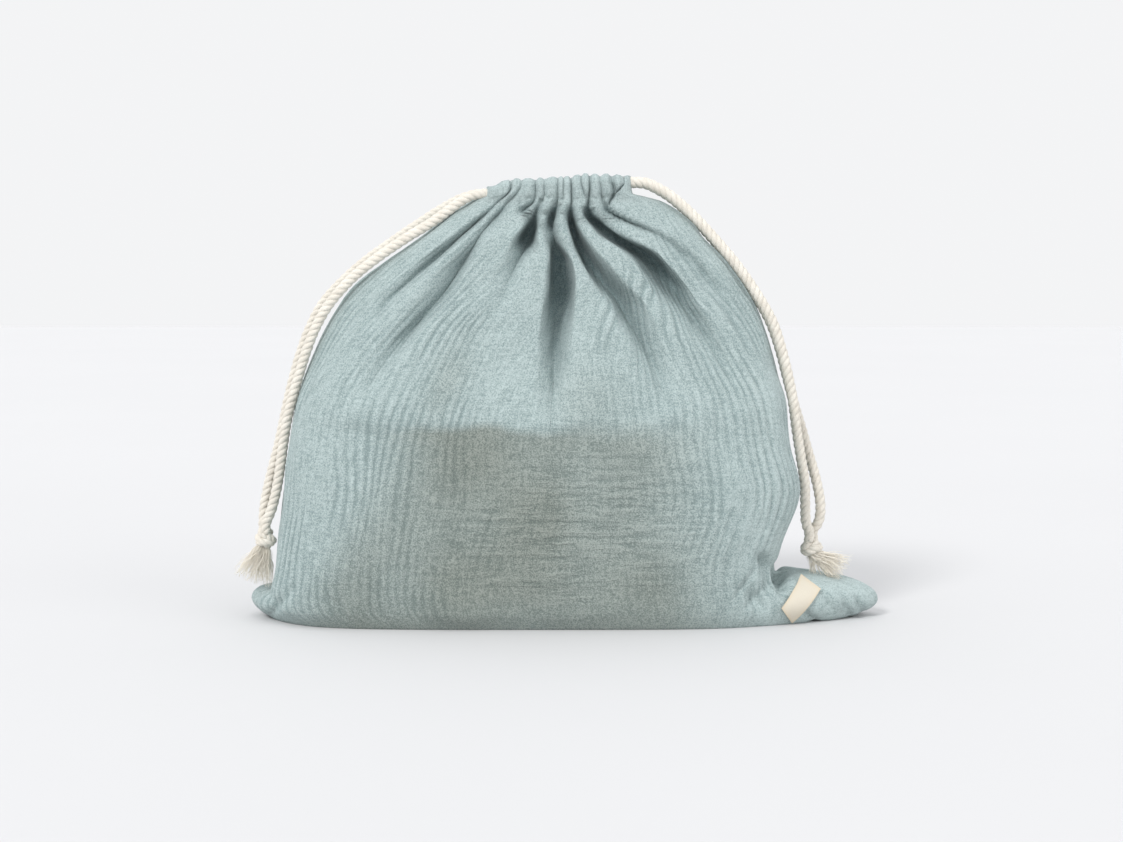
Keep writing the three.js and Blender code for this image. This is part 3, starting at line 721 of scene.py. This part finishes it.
camera = bpy.data.objects.new("camera", bpy.data.cameras.new("camera"))
bpy.context.scene.collection.objects.link(camera)
camera.location = CAMERA_PLACE
camera.rotation_euler = (math.radians(90 - CAMERA_PITCH), 0, 0)
camera.data.sensor_fit = "HORIZONTAL"
camera.data.sensor_width = SENSOR_WIDTH
camera.data.lens = CAMERA_LENS
camera.data.clip_start = 0.01
bpy.context.scene.camera = camera
bpy.context.scene.view_settings.view_transform = "Standard"


def studio_world():
    """A pale backdrop at eye level and a bright soft ceiling, brighter to the left."""
    world = bpy.data.worlds.new("studio")
    world.use_nodes = True
    tree = world.node_tree
    way = node(tree, "ShaderNodeSeparateXYZ", {0: node(tree, "ShaderNodeTexCoord").outputs["Generated"]})
    rising = {0: way.outputs[2], 1: CEILING_FROM, 2: CEILING_TO}
    up = node(tree, "ShaderNodeMapRange", rising, interpolation_type="SMOOTHSTEP").outputs[0]
    sky = mix_colour(tree, up, HORIZON, ZENITH)
    to_left = {0: way.outputs[0], 1: 0.6, 2: -0.9, 3: RIGHT_LIGHT, 4: LEFT_LIGHT}
    left = node(tree, "ShaderNodeMapRange", to_left).outputs[0]
    share = math_node(tree, "MULTIPLY", math_node(tree, "SUBTRACT", left, 1), up)
    background = tree.nodes["Background"]
    tree.links.new(sky, background.inputs[0])
    tree.links.new(math_node(tree, "ADD", share, 1), background.inputs[1])
    bpy.context.scene.world = world


studio_world()
for name, come_from, power, angle in (
    ("key", KEY_FROM, KEY_POWER, KEY_ANGLE), ("fill", FILL_FROM, FILL_POWER, FILL_ANGLE),
):
    light = bpy.data.lights.new(name, "SUN")
    light.energy = power
    light.angle = math.radians(angle)
    lamp = bpy.data.objects.new(name, light)
    lamp.rotation_euler = Vector(come_from).to_track_quat("Z", "Y").to_euler()
    bpy.context.scene.collection.objects.link(lamp)

floor_corners = [(-FLOOR_REACH, -FLOOR_REACH, 0), (FLOOR_REACH, -FLOOR_REACH, 0)]
floor_corners += [(FLOOR_REACH, FLOOR_REACH, 0), (-FLOOR_REACH, FLOOR_REACH, 0)]
floor = mesh_object("floor", floor_corners, [(0, 1, 2, 3)], floor_material(), False)

# Cords

cotton = cotton_material("natural_cotton", CORD_LIGHT, CORD_DARK)
loose_cotton = cotton_material("loose_cotton", FIBRE_LIGHT, FIBRE_DARK)


def frames_along(line):
    """Tangents and two cross directions along a polyline, without twist."""
    tangents = unit(np.gradient(line, axis=0))
    first = np.cross(tangents[0], (0.0, 1.0, 0.0))
    if np.linalg.norm(first) < 0.1:
        first = np.cross(tangents[0], (1.0, 0.0, 0.0))
    normals = [unit(first)]
    for t in tangents[1:]:
        normals.append(unit(normals[-1] - t * normals[-1].dot(t)))
    normals = np.array(normals)
    return tangents, normals, np.cross(tangents, normals)


def round_ring(angle, first, second):
    """Directions all round a line, from two cross directions at each of its points."""
    return (
        np.cos(angle)[None, :, None] * first[:, None, :] + np.sin(angle)[None, :, None] * second[:, None, :]
    )


def rope(name, line, scale=1.0, sides=CORD_SIDES, step=CORD_STEP):
    """A rope of three strands along a polyline. Its ends are closed by points."""
    line = even(np.array(line, float), step)
    _, normals, others = frames_along(line)
    along = distances(line)
    angle = 2 * math.pi * np.arange(sides) / sides
    yarn = YARNS * (angle[None, :] + 2 * math.pi * along[:, None] / (YARN_LAY * scale))
    radius = STRAND_RADIUS * scale * (1 - YARN_DEPTH * (0.5 + 0.5 * np.cos(yarn)))
    points, faces = [], []
    for strand in range(STRANDS):
        turn = 2 * math.pi * (along / (LAY_LENGTH * scale) + strand / STRANDS)
        outward = np.cos(turn)[:, None] * normals + np.sin(turn)[:, None] * others
        centres = line + STRAND_OFFSET * scale * outward
        tangents = unit(np.gradient(centres, axis=0))
        radial = unit(outward - tangents * (outward * tangents).sum(1)[:, None])
        round_strand = round_ring(angle, radial, np.cross(tangents, radial))
        ring = centres[:, None, :] + radius[:, :, None] * round_strand
        start = len(points)
        points.extend(ring.reshape(-1, 3).tolist())
        faces.extend(grid_faces(len(line), sides, True, start))
        for end, order in ((0, -1), (len(line) - 1, 1)):
            points.append(tuple(centres[end] + order * tangents[end] * 0.4 * STRAND_RADIUS * scale))
            tip = len(points) - 1
            for k in range(sides):
                a, b = start + end * sides + k, start + end * sides + (k + 1) % sides
                faces.append((a, b, tip) if order > 0 else (b, a, tip))
    return mesh_object(name, points, faces, cotton)


def free_cord(side_name, face, end_x, turn, lane, route, knot, spread):
    """One free cord from the casing's end to its knot. It starts a little inside the casing."""
    side = -1 if face == "front" else 1
    start = np.array((end_x + turn * EXIT_GAP, side * LANE_DEPTH, lane))
    end = np.array((knot[0] + spread[0], knot[1] + spread[1], knot[2] + KNOT_HEIGHT / 2 + KNOT_GAP))
    points = [
        start - (turn * CORD_TUCK, 0, 0), start, start + (turn * CORD_DIAMETER / 2, 0, 0),
        *(np.array(route) * MM), end + (0, 0, CORD_DIAMETER / 2), end - (0, 0, CORD_INTO_KNOT),
    ]
    line = spline(points, 1 * MM)
    piece = rope(f"{side_name}_cord_{face}_rope", line)
    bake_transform(piece)
    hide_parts(f"{side_name}_cord_{face}")
    return piece, line


def knot_pieces(side_name, place, tilt, mirror):
    """An overhand knot of both cords, drawn down to a small barrel: wraps, and one turn laid over them."""
    t = np.linspace(0, 1, 60)
    radius = KNOT_WRAP_RADIUS * np.minimum(1, np.minimum(t, 1 - t) * 8 + 0.2)
    angle = 2 * math.pi * KNOT_TURNS * t * mirror + 0.6
    coil = np.column_stack([radius * np.cos(angle), radius * np.sin(angle), KNOT_WRAP_HEIGHT * (0.5 - t)])
    t = np.linspace(0, 1, 30)
    wide = KNOT_OVER_RADIUS * np.sin(math.pi * (0.15 + 0.7 * t))
    angle = math.pi * (0.85 - 1.25 * t) + 0.5
    over = np.column_stack([
        mirror * wide * np.sin(angle), -wide * np.abs(np.cos(angle)), KNOT_OVER_HEIGHT * (0.5 - t),
    ])
    lean = np.array([
        (math.cos(tilt), 0, math.sin(tilt)), (0, 1, 0), (-math.sin(tilt), 0, math.cos(tilt)),
    ])
    pieces = []
    for label, line, scale in (("wraps", coil, KNOT_WRAP_SCALE), ("over", over, KNOT_OVER_SCALE)):
        placed = line @ lean.T + np.array(place)
        piece = rope(f"{side_name}_knot_{label}", placed, scale, KNOT_SIDES, KNOT_STEP)
        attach(piece, f"{side_name}_cord")
        pieces.append(piece)
    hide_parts(f"{side_name}_knot")
    return pieces


def tube(line, radii, sides, points, faces):
    """Add a thin closed tube along a line to the points and faces."""
    _, normals, others = frames_along(line)
    angle = 2 * math.pi * np.arange(sides) / sides
    ring = line[:, None, :] + radii[:, None, None] * round_ring(angle, normals, others)
    first = len(points)
    points.extend(ring.reshape(-1, 3).tolist())
    faces.extend(grid_faces(len(line), sides, True, first))
    last = first + (len(line) - 1) * sides
    faces.append(tuple(range(last, last + sides)))
    faces.append(tuple(range(first + sides - 1, first - 1, -1)))


def bundle(rng, start, end, kinds, spread, root, opening, points, faces):
    """Loose fibres from a root to an end, which open out and curl, added to the points and faces."""
    axis = np.array(end) - start
    reach = np.linalg.norm(axis)
    axis /= reach
    across = unit(np.cross(axis, (0, 1, 0)))
    deep = np.cross(axis, across)
    t = np.linspace(0, 1, 9)
    fan = t**opening
    for count, thick, sides in kinds:
        for _ in range(count):
            a = rng.uniform(0, 2 * math.pi)
            r = math.sqrt(rng.uniform(0, 1))
            aim_x, aim_y = spread[0] * r * math.cos(a), spread[1] * r * math.sin(a)
            size = reach * rng.uniform(0.66, 1.08)
            curl = rng.normal(0, FIBRE_CURL, (3, 2))
            wave_x = curl[0, 0] * np.sin(2.2 * math.pi * t) + curl[1, 0] * t**2
            wave_y = curl[0, 1] * np.sin(2.2 * math.pi * t + 1) + curl[1, 1] * t**2
            x = root * r * math.cos(a) * (1 - fan) + aim_x * fan + wave_x
            y = root * r * math.sin(a) * (1 - fan) + aim_y * fan + wave_y
            line = start + np.outer(t * size, axis) + np.outer(x, across) + np.outer(y, deep)
            line[:, 2] = np.maximum(line[:, 2], FIBRE_LOWEST)
            tube(line, thick * (1 - 0.6 * t), sides, points, faces)


def tassel_piece(side_name, knot, end, seed, spread, stray, opening):
    """Frayed cord ends: yarns that fan out under the knot, with finer fibres and one stray wisp."""
    rng = np.random.default_rng(seed)
    start = np.array((knot[0], knot[1], knot[2] - KNOT_HEIGHT / 2 + TASSEL_TUCK))
    points, faces = [], []
    bundle(rng, start, end, TASSEL_FIBRES, spread, TASSEL_ROOT, opening, points, faces)
    bundle(rng, start, stray, WISP_FIBRES, WISP_SPREAD, WISP_ROOT, WISP_OPENING, points, faces)
    piece = mesh_object(f"{side_name}_tassel_fibres", points, faces, loose_cotton)
    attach(piece, f"{side_name}_cord")
    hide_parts(f"{side_name}_tassel")
    return piece


def inner_cords(side_name, end_x, turn, lane):
    """The stretches of a drawcord in the casing: the fixed loop and the two leads that slide."""
    on_right = turn > 0
    far_x = CASING_LEFT + LOOP_SHORTER if on_right else CASING_RIGHT
    lead_end = end_x - turn * LEAD_LENGTH
    bend_x = far_x + turn * (LOOP_GAP + CORD_DIAMETER / 2 + LANE_DEPTH)
    bend = [
        (bend_x - turn * LANE_DEPTH * math.cos(a), LANE_DEPTH * math.sin(a), lane)
        for a in np.linspace(-math.pi / 2, math.pi / 2, 15)
    ]
    start_x = lead_end - turn * EXIT_GAP
    loop = even(np.array([(start_x, -LANE_DEPTH, lane), *bend, (start_x, LANE_DEPTH, lane)]), HIDDEN_STEP)
    sunk = smooth(turn * (start_x - loop[:, 0]) / LOOP_DROPS_OVER)
    loop[:, 2] -= (RIGHT_LOOP_DROP if on_right else LEFT_LOOP_DROP) * sunk
    if on_right:
        loop[:, 1] *= 1 - (1 - LOOP_CLOSER) * sunk
        loop[:, 2] -= RIGHT_BEND_DROP * fade(loop[:, 0], *RIGHT_BEND_DROPS)
    piece = rope(f"{side_name}_loop_rope", loop, LOOP_SCALE, HIDDEN_SIDES, HIDDEN_STEP)
    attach(piece, "bag")
    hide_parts(f"{side_name}_drawcord_loop")
    for face, side in (("front", -1), ("back", 1)):
        ends = [(lead_end, side * LANE_DEPTH, lane), (end_x, side * LANE_DEPTH, lane)]
        line = even(np.array(ends), HIDDEN_STEP)
        if on_right:
            line[:, 2] -= RIGHT_LEAD_DROP * fade(line[:, 0], *RIGHT_LEAD_DROPS)
        lead = rope(f"{side_name}_lead_{face}_rope", line, 1, HIDDEN_SIDES, HIDDEN_STEP)
        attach(lead, f"{side_name}_lead")
        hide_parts(f"{side_name}_cord_lead_{face}")


CORDS = [
    {
        "name": "left", "end_x": CASING_LEFT, "turn": -1, "lane": LEFT_LANE, "knot": LEFT_KNOT,
        "routes": (LEFT_FRONT_ROUTE, LEFT_BACK_ROUTE), "spread": (0.9 * MM, 2.6 * MM),
        "tilt": 0.45, "mirror": 1, "tassel": LEFT_TASSEL_END, "fan": (10 * MM, 4 * MM), "seed": 5,
        "stray": LEFT_WISP_END, "opening": 0.85,
    },
    {
        "name": "right", "end_x": CASING_RIGHT, "turn": 1, "lane": RIGHT_LANE, "knot": RIGHT_KNOT,
        "routes": (RIGHT_FRONT_ROUTE, RIGHT_BACK_ROUTE), "spread": (-1.2 * MM, 2.5 * MM),
        "tilt": -0.75, "mirror": -1, "tassel": RIGHT_TASSEL_END, "fan": (8 * MM, 4 * MM), "seed": 9,
        "stray": RIGHT_WISP_END, "opening": 1.35,
    },
]
for c in CORDS:
    knot = knot_pieces(c["name"], c["knot"], c["tilt"], c["mirror"])
    tassel = tassel_piece(c["name"], c["knot"], c["tassel"], c["seed"], c["fan"], c["stray"], c["opening"])
    inner_cords(c["name"], c["end_x"], c["turn"], c["lane"])
    for face, side, route in (("front", -1, c["routes"][0]), ("back", 1, c["routes"][1])):
        lean = (-side * c["spread"][0], side * c["spread"][1])
        cord, line = free_cord(c["name"], face, c["end_x"], c["turn"], c["lane"], route, c["knot"], lean)

# Cloth

gauze = cloth_material()


def outline_at(z):
    """Left, right, depth and corner exponent of the outline at a height, by smooth interpolation."""
    heights = OUTLINE[:, 0]
    i = int(np.clip(np.searchsorted(heights, z) - 1, 0, len(heights) - 2))

    def slope(j):
        a, b = OUTLINE[max(j - 1, 0)], OUTLINE[min(j + 1, len(OUTLINE) - 1)]
        return (b[1:] - a[1:]) / (b[0] - a[0])

    a, b = OUTLINE[i], OUTLINE[i + 1]
    span = b[0] - a[0]
    t = float(np.clip((z - a[0]) / span, 0, 1))
    start = (1 + 2 * t) * (1 - t) ** 2 * a[1:] + t * (1 - t) ** 2 * span * slope(i)
    end = t * t * (3 - 2 * t) * b[1:] + t * t * (t - 1) * span * slope(i + 1)
    return start + end


def fold_lines(folds):
    """Each fold from the bottom up: height, x, left and right width and depth in metres, and its floor."""
    floors = FOLD_FLOORS if folds is FRONT_FOLDS else {}
    return [
        (spline(np.array(points, float) * MM, 0.5 * MM)[::-1], floors.get(name, 0))
        for name, points in folds.items()
    ]


def fold_depth(lines, x, z):
    """How far the folds draw the cloth in along one row. Between two folds it stands up in a ridge."""
    here = sorted(
        [*(float(np.interp(z, line[:, 0], line[:, k])) for k in (1, 2, 3, 4)), floor]
        for line, floor in lines if line[0, 0] <= z <= line[-1, 0]
    )
    sharpness = np.interp(z, SHARPENS, (SHARPNESS_BODY, SHARPNESS_CASING))
    total = np.zeros_like(x)
    for i, (centre, left, right, depth, floor) in enumerate(here):
        steep = STEEPEST * float(fade(depth, DEEP_FROM, DEEP_TO)) if floor else 0
        gap_left = centre - here[i - 1][0] if i > 0 else 0
        gap_right = here[i + 1][0] - centre if i < len(here) - 1 else 0
        wide_left = max(left, min(FOLD_REACH, 0.5 * gap_left))
        wide_right = max(right, min(FOLD_REACH, 0.5 * gap_right))
        away = np.abs(x - centre)
        reach = np.clip(1 - away / np.where(x < centre, left, right), 0, 1)
        wide_reach = np.clip(1 - away / np.where(x < centre, wide_left, wide_right), 0, 1)
        total += max(depth, 0) * ((1 - steep) * wide_reach**sharpness + steep * smooth(reach / (1 - floor)))
    return total


def ear_push(ear, z, depth):
    """How far a bottom corner stands out along a row: blunt at its tip, and flared at its root."""
    reach, thickness, middle, half = ear
    full = (1 - min(1, abs(z - middle) / half) ** EAR_SQUARENESS) ** EAR_FULLNESS
    share = np.linspace(1, 0, 80)
    blunt = EAR_BLUNTNESS * np.sqrt(1 - share**2) + (1 - EAR_BLUNTNESS) * (1 - share) ** EAR_FLARE
    return reach * full * np.interp(depth, thickness * (0.5 + 0.5 * full) * blunt, share)


def cloth_row(z, lines):
    """One row of a panel at a height: x, depth and how hollow it is, at even steps along the cloth."""
    left, right, depth, square = outline_at(z)
    t = np.linspace(0, 1, SECTION_SAMPLES)
    across = -np.cos(math.pi * t * t / (t * t + (1 - t) ** 2))
    out = depth * (1 - np.abs(across) ** square) ** (1 / square)
    x = (left + right) / 2 + (right - left) / 2 * across
    most = np.interp(z, FOLD_SHARE_FALLS, (FOLD_SHARE_BODY, FOLD_SHARE_CASING)) * out
    drawn = fold_depth(lines, x, z) * np.interp(z, FOLD_FADES, (1, FOLD_FADE_CASING))
    # How hollow the cloth is sets both how far it is drawn in and the painted fold shade
    hollow = 1 - np.exp(-drawn / np.maximum(most, 1e-6))
    out = out - most * hollow
    along = distances(np.column_stack([x, out]))
    wanted = np.linspace(0, along[-1], COLUMNS)
    return [np.interp(wanted, along, values) for values in (x, out, hollow)]


def smooth_path(points, x):
    given = spline(points, 1 * MM)
    return np.interp(x, given[:, 0], given[:, 1])


def body_rows(side, lines):
    """Rows from the floor up to the casing, with the bottom corners, and how hollow each is."""
    middle, half = RIGHT_EAR[2:]
    turns = np.linspace(math.asin(-middle / half), math.pi / 2, EAR_ROWS)
    levels = [*(middle + half * np.sin(turns)), *np.linspace(middle + half, BODY_HEIGHT, FACE_ROWS)[1:]]
    rows, hollows = [], []
    for z in levels:
        x, out, hollow = cloth_row(z, lines)
        push = np.where(x < 0, -ear_push(LEFT_EAR, z, out), ear_push(RIGHT_EAR, z, out))
        rows.append(np.column_stack([x + push, side * out, np.full_like(x, z)]))
        hollows.append(hollow)
    return rows, hollows


def casing_rows(side, lines):
    """Rows up the casing, over its top and down inside it, and how hollow each is."""
    rows, hollows = [], []
    for z in np.linspace(BODY_HEIGHT, CASING_SHOULDER, CASING_ROWS)[1:]:
        x, out, hollow = cloth_row(z, lines)
        top = smooth_path(CASING_TOP, x)
        share = max(0, z - CASING_FOOT) / (CASING_HIGHEST - CASING_FOOT)
        height = min(z, CASING_FOOT) + (top - CASING_FOOT) * share
        out = out * (1 - STITCH_PINCH * math.exp(-(((z - STITCH_LEVEL) / STITCH_WIDTH) ** 2)))
        rows.append(np.column_stack([x, side * out, height]))
        hollows.append(CASING_FOLD_SHADE * hollow)
    dip = TOP_DIP * (1 - np.exp(-fold_depth(lines, x, CASING_SHOULDER) / TOP_DIP_DEPTH))
    rise = top - height - dip + TOP_UNEVEN * noise(x / TOP_UNEVEN_PITCH, x * 0, TOP_UNEVEN_SEED)
    from_end = np.minimum(x - x.min(), x.max() - x)
    inner = MOUTH_CLOSED + (MOUTH_HALF - MOUTH_CLOSED) * smooth(from_end / MOUTH_TAPER)
    inner = np.minimum(inner, MOUTH_SHARE * out)
    middle, half = (out + inner) / 2, (out - inner) / 2
    for a in np.linspace(0, math.pi, TOP_ROWS + 1)[1:]:
        rows.append(np.column_stack([x, side * (middle + half * math.cos(a)), height + rise * math.sin(a)]))
    for share in np.linspace(0, 1, INSIDE_ROWS + 1)[1:]:
        rows.append(np.column_stack([x, side * inner, height * (1 - share) + INSIDE_FOOT * share]))
    return rows, hollows + [hollows[-1]] * (TOP_ROWS + INSIDE_ROWS)


def panel_grid(side, folds):
    """Points of one side of the bag, from the bottom seam up and down into the casing, and how hollow."""
    lines = fold_lines(folds)
    body, body_hollows = body_rows(side, lines)
    casing, casing_hollows = casing_rows(side, lines)
    base = [body[0] * (1, share, 1) + (0, 0, BASE_LIFT) for share in np.linspace(0, 1, BASE_ROWS)[:-1]]
    hollows = [body_hollows[0]] * BASE_ROWS + body_hollows[1:] + casing_hollows
    return np.array(base + body + casing), np.array(hollows)


def way_up(grid):
    """How far up the cloth each row of a grid lies, along its surface."""
    steps = np.linalg.norm(np.diff(grid, axis=0), axis=2).mean(1)
    return np.concatenate([[0], np.cumsum(steps)])


def grid_normals(grid, side):
    normal = np.cross(np.gradient(grid, axis=1), np.gradient(grid, axis=0)) * -side
    return normal / np.maximum(np.linalg.norm(normal, axis=2), 1e-12)[:, :, None]


def dents(grid, places):
    """How deep the dents are at each point."""
    total = np.zeros(grid.shape[:2])
    for x, z, half_x, half_z, lean, depth in places:
        turn = math.radians(lean)
        dx, dz = grid[:, :, 0] / MM - x, grid[:, :, 2] / MM - z
        across = dx * math.cos(turn) - dz * math.sin(turn)
        along = dx * math.sin(turn) + dz * math.cos(turn)
        total += depth * MM * np.exp(-((across / half_x) ** 2) - (along / half_z) ** 2)
    return total


def right_corner(x, z):
    return fade(x, *CORNER_ROOT) * fade(z, *CORNER_TOP)


def rib_strength(x, z, u, v, seed):
    """How strong the upright ribs are: weak in the middle, in the right corner and at the neck."""
    strength = np.clip(0.7 + 0.8 * noise(u / 0.010, v / 0.026, seed), 0.1, 1.3)
    low_middle = np.exp(-(((x - 0.012) / 0.050) ** 2)) * fade(z, *LOW_MIDDLE_TOP)
    high_middle = np.exp(-(((x + 0.012) / 0.028) ** 4)) * fade(z, *HIGH_MIDDLE_FOOT)
    strength *= (1 - 0.75 * low_middle) * (1 - 0.85 * high_middle) * (1 - 0.75 * right_corner(x, z))
    return strength * (1 - 0.70 * fade(z, *RIBS_FADE))


def packing_ledge(x, above, seed):
    """How far the cloth stands out over the packing's edge, by the height above it in millimetres."""
    share = fade(np.abs(x - LEDGE_MIDDLE), *LEDGE_ENDS) * (0.75 + 0.5 * noise(x / 0.024, x * 0, seed))
    share *= 1 - 0.5 * fade(x, *LEDGE_WEAKER)
    return LEDGE_HEIGHT * share * fade(above, -3, 5) * fade(above, 31, 5)


def painted_packing_shade(x, z, above):
    """How much painted shade the packing puts into the cloth's colour, by the height above the packing's
    edge in millimetres.
    """
    soft = 2.8 + 4 * fade(x, *SHADE_SOFTENS)
    wider = fade(z, *SHADE_WIDENS)
    left = fade(x + SHADE_LEFT_WIDER * wider, *SHADE_LEFT)
    middle = 0.3 * (1 - wider) * fade(x, *SHADE_MIDDLE)
    right = (0.7 + 0.3 * wider) * fade(x - SHADE_RIGHT_WIDER * wider, *SHADE_RIGHT)
    return fade(above, soft, -soft) * (1 - 0.12 * fade(above, -10, -50)) * left * (1 - middle - right)


def crinkled(grid, side, seed, places):
    """The grid with its puckers, bulges and dents, how deep in a crease each point lies, and the packing's
    painted shade.

    The crease is painted as shade in the material. It is below zero, and so paler as painted light, in the
    right corner, in the casing and at the right side where the cloth is free of the packing.
    """
    rows, columns, _ = grid.shape
    u = np.ones((rows, 1)) * np.linspace(0, FLAT_WIDTH, columns)
    v = way_up(grid)[:, None] * np.ones((1, columns))
    x, z = grid[:, :, 0], grid[:, :, 2]
    turn = 2 * math.pi * (u + waves(RIB_WANDER, u, v, seed)) / RIB_PITCH
    off_base = fade(v, *BASE_EDGE)
    # The crease both sinks the cloth and, in the material, darkens it as painted shade
    crease = (0.5 + 0.5 * np.cos(turn)) ** 2 * rib_strength(x, z, u, v, seed + 2) * off_base
    bulges = waves(SOFT_BULGES, u, v, seed + 3) * off_base * (1 - 0.75 * fade(z, *BULGES_FADE))
    uneven = 1.6 * noise(x / 0.017, x * 0, seed + 5) + 0.8 * noise(x / 0.005, x * 0, seed + 7)
    above = (z - smooth_path(PACKING_LINE, x)) / MM + uneven
    push = bulges - RIB_HEIGHT * crease + packing_ledge(x, above, seed + 6) - dents(grid, places)
    near_edge = np.minimum(np.arange(columns), np.arange(columns)[::-1])[None, :]
    inside = smooth(near_edge / SEAM_COLUMNS)
    seam = SEAM_RIDGE * np.exp(-(((near_edge - SEAM_RIDGE_AT) / SEAM_RIDGE_WIDTH) ** 2)) * off_base
    moved = grid + (push * inside + seam)[:, :, None] * grid_normals(grid, side)
    # Painted light: the right side free of the packing, the right corner and the casing are made paler
    free = FLANK_LIGHT_SHARE * fade(x, *FLANK_LIGHT_FROM) * fade(z, *FLANK_LIGHT_TOP)
    painted_light = np.maximum(np.maximum(right_corner(x, z), free), fade(z, *CASING_LIGHT_FROM))
    # Painted shade of the packing, for the material; the back gets less of it
    packing_painted_shade = painted_packing_shade(x, z, above) + dents(grid, PAINTED_PACKING_SHADES) / MM
    packing_painted_shade *= (0.95 + 0.25 * noise(u / 0.03, v / 0.03, seed + 8)) * (BACK_PAINTED_SHADE if side > 0 else 1)
    return moved, crease * inside - PAINTED_LIGHT_PALER * painted_light, np.clip(packing_painted_shade, 0, 1)


def point_values(piece, name, values):
    """Keep a value for each point of a piece, for its material."""
    kept = piece.data.attributes.new(name, "FLOAT", "POINT")
    kept.data.foreach_set("value", values.astype(np.float32).ravel())


def point_uv(piece, places):
    """Lay a piece out flat for its material, with a place for each point."""
    uv = piece.data.uv_layers.new(name="OFBake")
    corners = np.empty(len(piece.data.loops), np.int32)
    piece.data.loops.foreach_get("vertex_index", corners)
    uv.data.foreach_set("uv", places[corners].astype(np.float32).ravel())


def panel(side, folds, places, name, nodes, seed):
    """One side of the bag, with its half of the casing."""
    smooth_grid, hollow = panel_grid(side, folds)
    grid, crease, packing_painted_shade = crinkled(smooth_grid, side, seed, places)
    rows, columns, _ = grid.shape
    faces = grid_faces(rows, columns)
    if side > 0:
        faces = [face[::-1] for face in faces]
    piece = mesh_object(name, grid.reshape(-1, 3), faces, gauze)
    for label, values in (("crease", crease), ("packing_painted_shade", packing_painted_shade), ("hollow", hollow)):
        point_values(piece, label, values)
    v = way_up(grid)
    flat = np.meshgrid(np.linspace(0, 1, columns), v / v[-1])
    point_uv(piece, np.stack(flat, -1).reshape(-1, 2))
    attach(piece, "bag")
    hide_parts(*nodes)
    return piece


front = panel(-1, FRONT_FOLDS, FRONT_DENTS, "front_cloth", ("front_panel", "front_casing"), 11)
back = panel(1, BACK_FOLDS, BACK_DENTS, "back_cloth", ("back_panel", "back_casing"), 31)


def label_grid(across, up):
    """Points of a tape between four corners, bent a little by the cloth that it lies on."""
    tree = BVHTree.FromObject(front, bpy.context.evaluated_depsgraph_get())
    low, right, top, left = LABEL_CORNERS
    places = (
        low * ((1 - up) * (1 - across))[..., None] + right * (up * (1 - across))[..., None]
        + top * (up * across)[..., None] + left * ((1 - up) * across)[..., None]
    )
    x, z = places[..., 0].ravel(), places[..., 1].ravel()
    hits = [tree.ray_cast(Vector((p, -0.2, q)), Vector((0, 1, 0)))[0] for p, q in zip(x, z)]
    met = np.array([hit is not None for hit in hits])
    cloth = np.array([hit.y if hit else 0 for hit in hits])
    p, q = x - x.mean(), z - z.mean()
    terms = np.column_stack([np.ones_like(p), p, q, p * p, p * q, q * q])
    fit = terms @ np.linalg.lstsq(terms[met], cloth[met], rcond=None)[0]
    fit -= np.percentile((fit - cloth)[met], LABEL_CLEAR)
    grid = np.stack([x, np.minimum(fit, cloth), z], -1).reshape(LABEL_ROWS, LABEL_COLUMNS, 3)
    for _ in range(LABEL_SMOOTHINGS):
        grid[1:-1, :, 1] = (grid[:-2, :, 1] + 2 * grid[1:-1, :, 1] + grid[2:, :, 1]) / 4
        grid[:, 1:-1, 1] = (grid[:, :-2, 1] + 2 * grid[:, 1:-1, 1] + grid[:, 2:, 1]) / 4
    return grid


def label_piece():
    """The bare label: a thin tape with an outer and an inner side, closed by its rim."""
    rows, columns, count = LABEL_ROWS, LABEL_COLUMNS, LABEL_ROWS * LABEL_COLUMNS
    across, up = np.meshgrid(np.linspace(0, 1, columns), np.linspace(0, 1, rows))
    grid = label_grid(across, up)
    normal = unit(np.cross(np.gradient(grid, axis=0), np.gradient(grid, axis=1)))
    if normal[:, :, 1].mean() > 0:
        normal = -normal
    outer = grid + normal * (LABEL_LIFT + LABEL_THICKNESS)
    inner = grid + normal * LABEL_LIFT
    points = np.vstack([outer.reshape(-1, 3), inner.reshape(-1, 3)])
    faces = grid_faces(rows, columns) + [f[::-1] for f in grid_faces(rows, columns, start=count)]
    rim = list(range(columns))
    rim += [r * columns + columns - 1 for r in range(1, rows)]
    rim += [(rows - 1) * columns + c for c in range(columns - 2, -1, -1)]
    rim += [r * columns for r in range(rows - 2, 0, -1)]
    faces += [(m, m + count, n + count, n) for m, n in zip(rim, rim[1:] + rim[:1])]
    piece = mesh_object("bare_label", points, faces, tape_material())
    piece.data.set_sharp_from_angle(angle=math.radians(40))
    inwards = np.minimum(np.minimum(up, 1 - up) * 24, np.minimum(across, 1 - across) * 14)
    point_values(piece, "edge", np.tile(LABEL_WORN * np.exp(-inwards).ravel(), 2))
    sides = [np.stack([start + 0.48 * across, up], -1).reshape(-1, 2) for start in (0, 0.5)]
    point_uv(piece, np.vstack(sides))
    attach(piece, "bag")
    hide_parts("sewn_label")
    return piece


tag = label_piece()
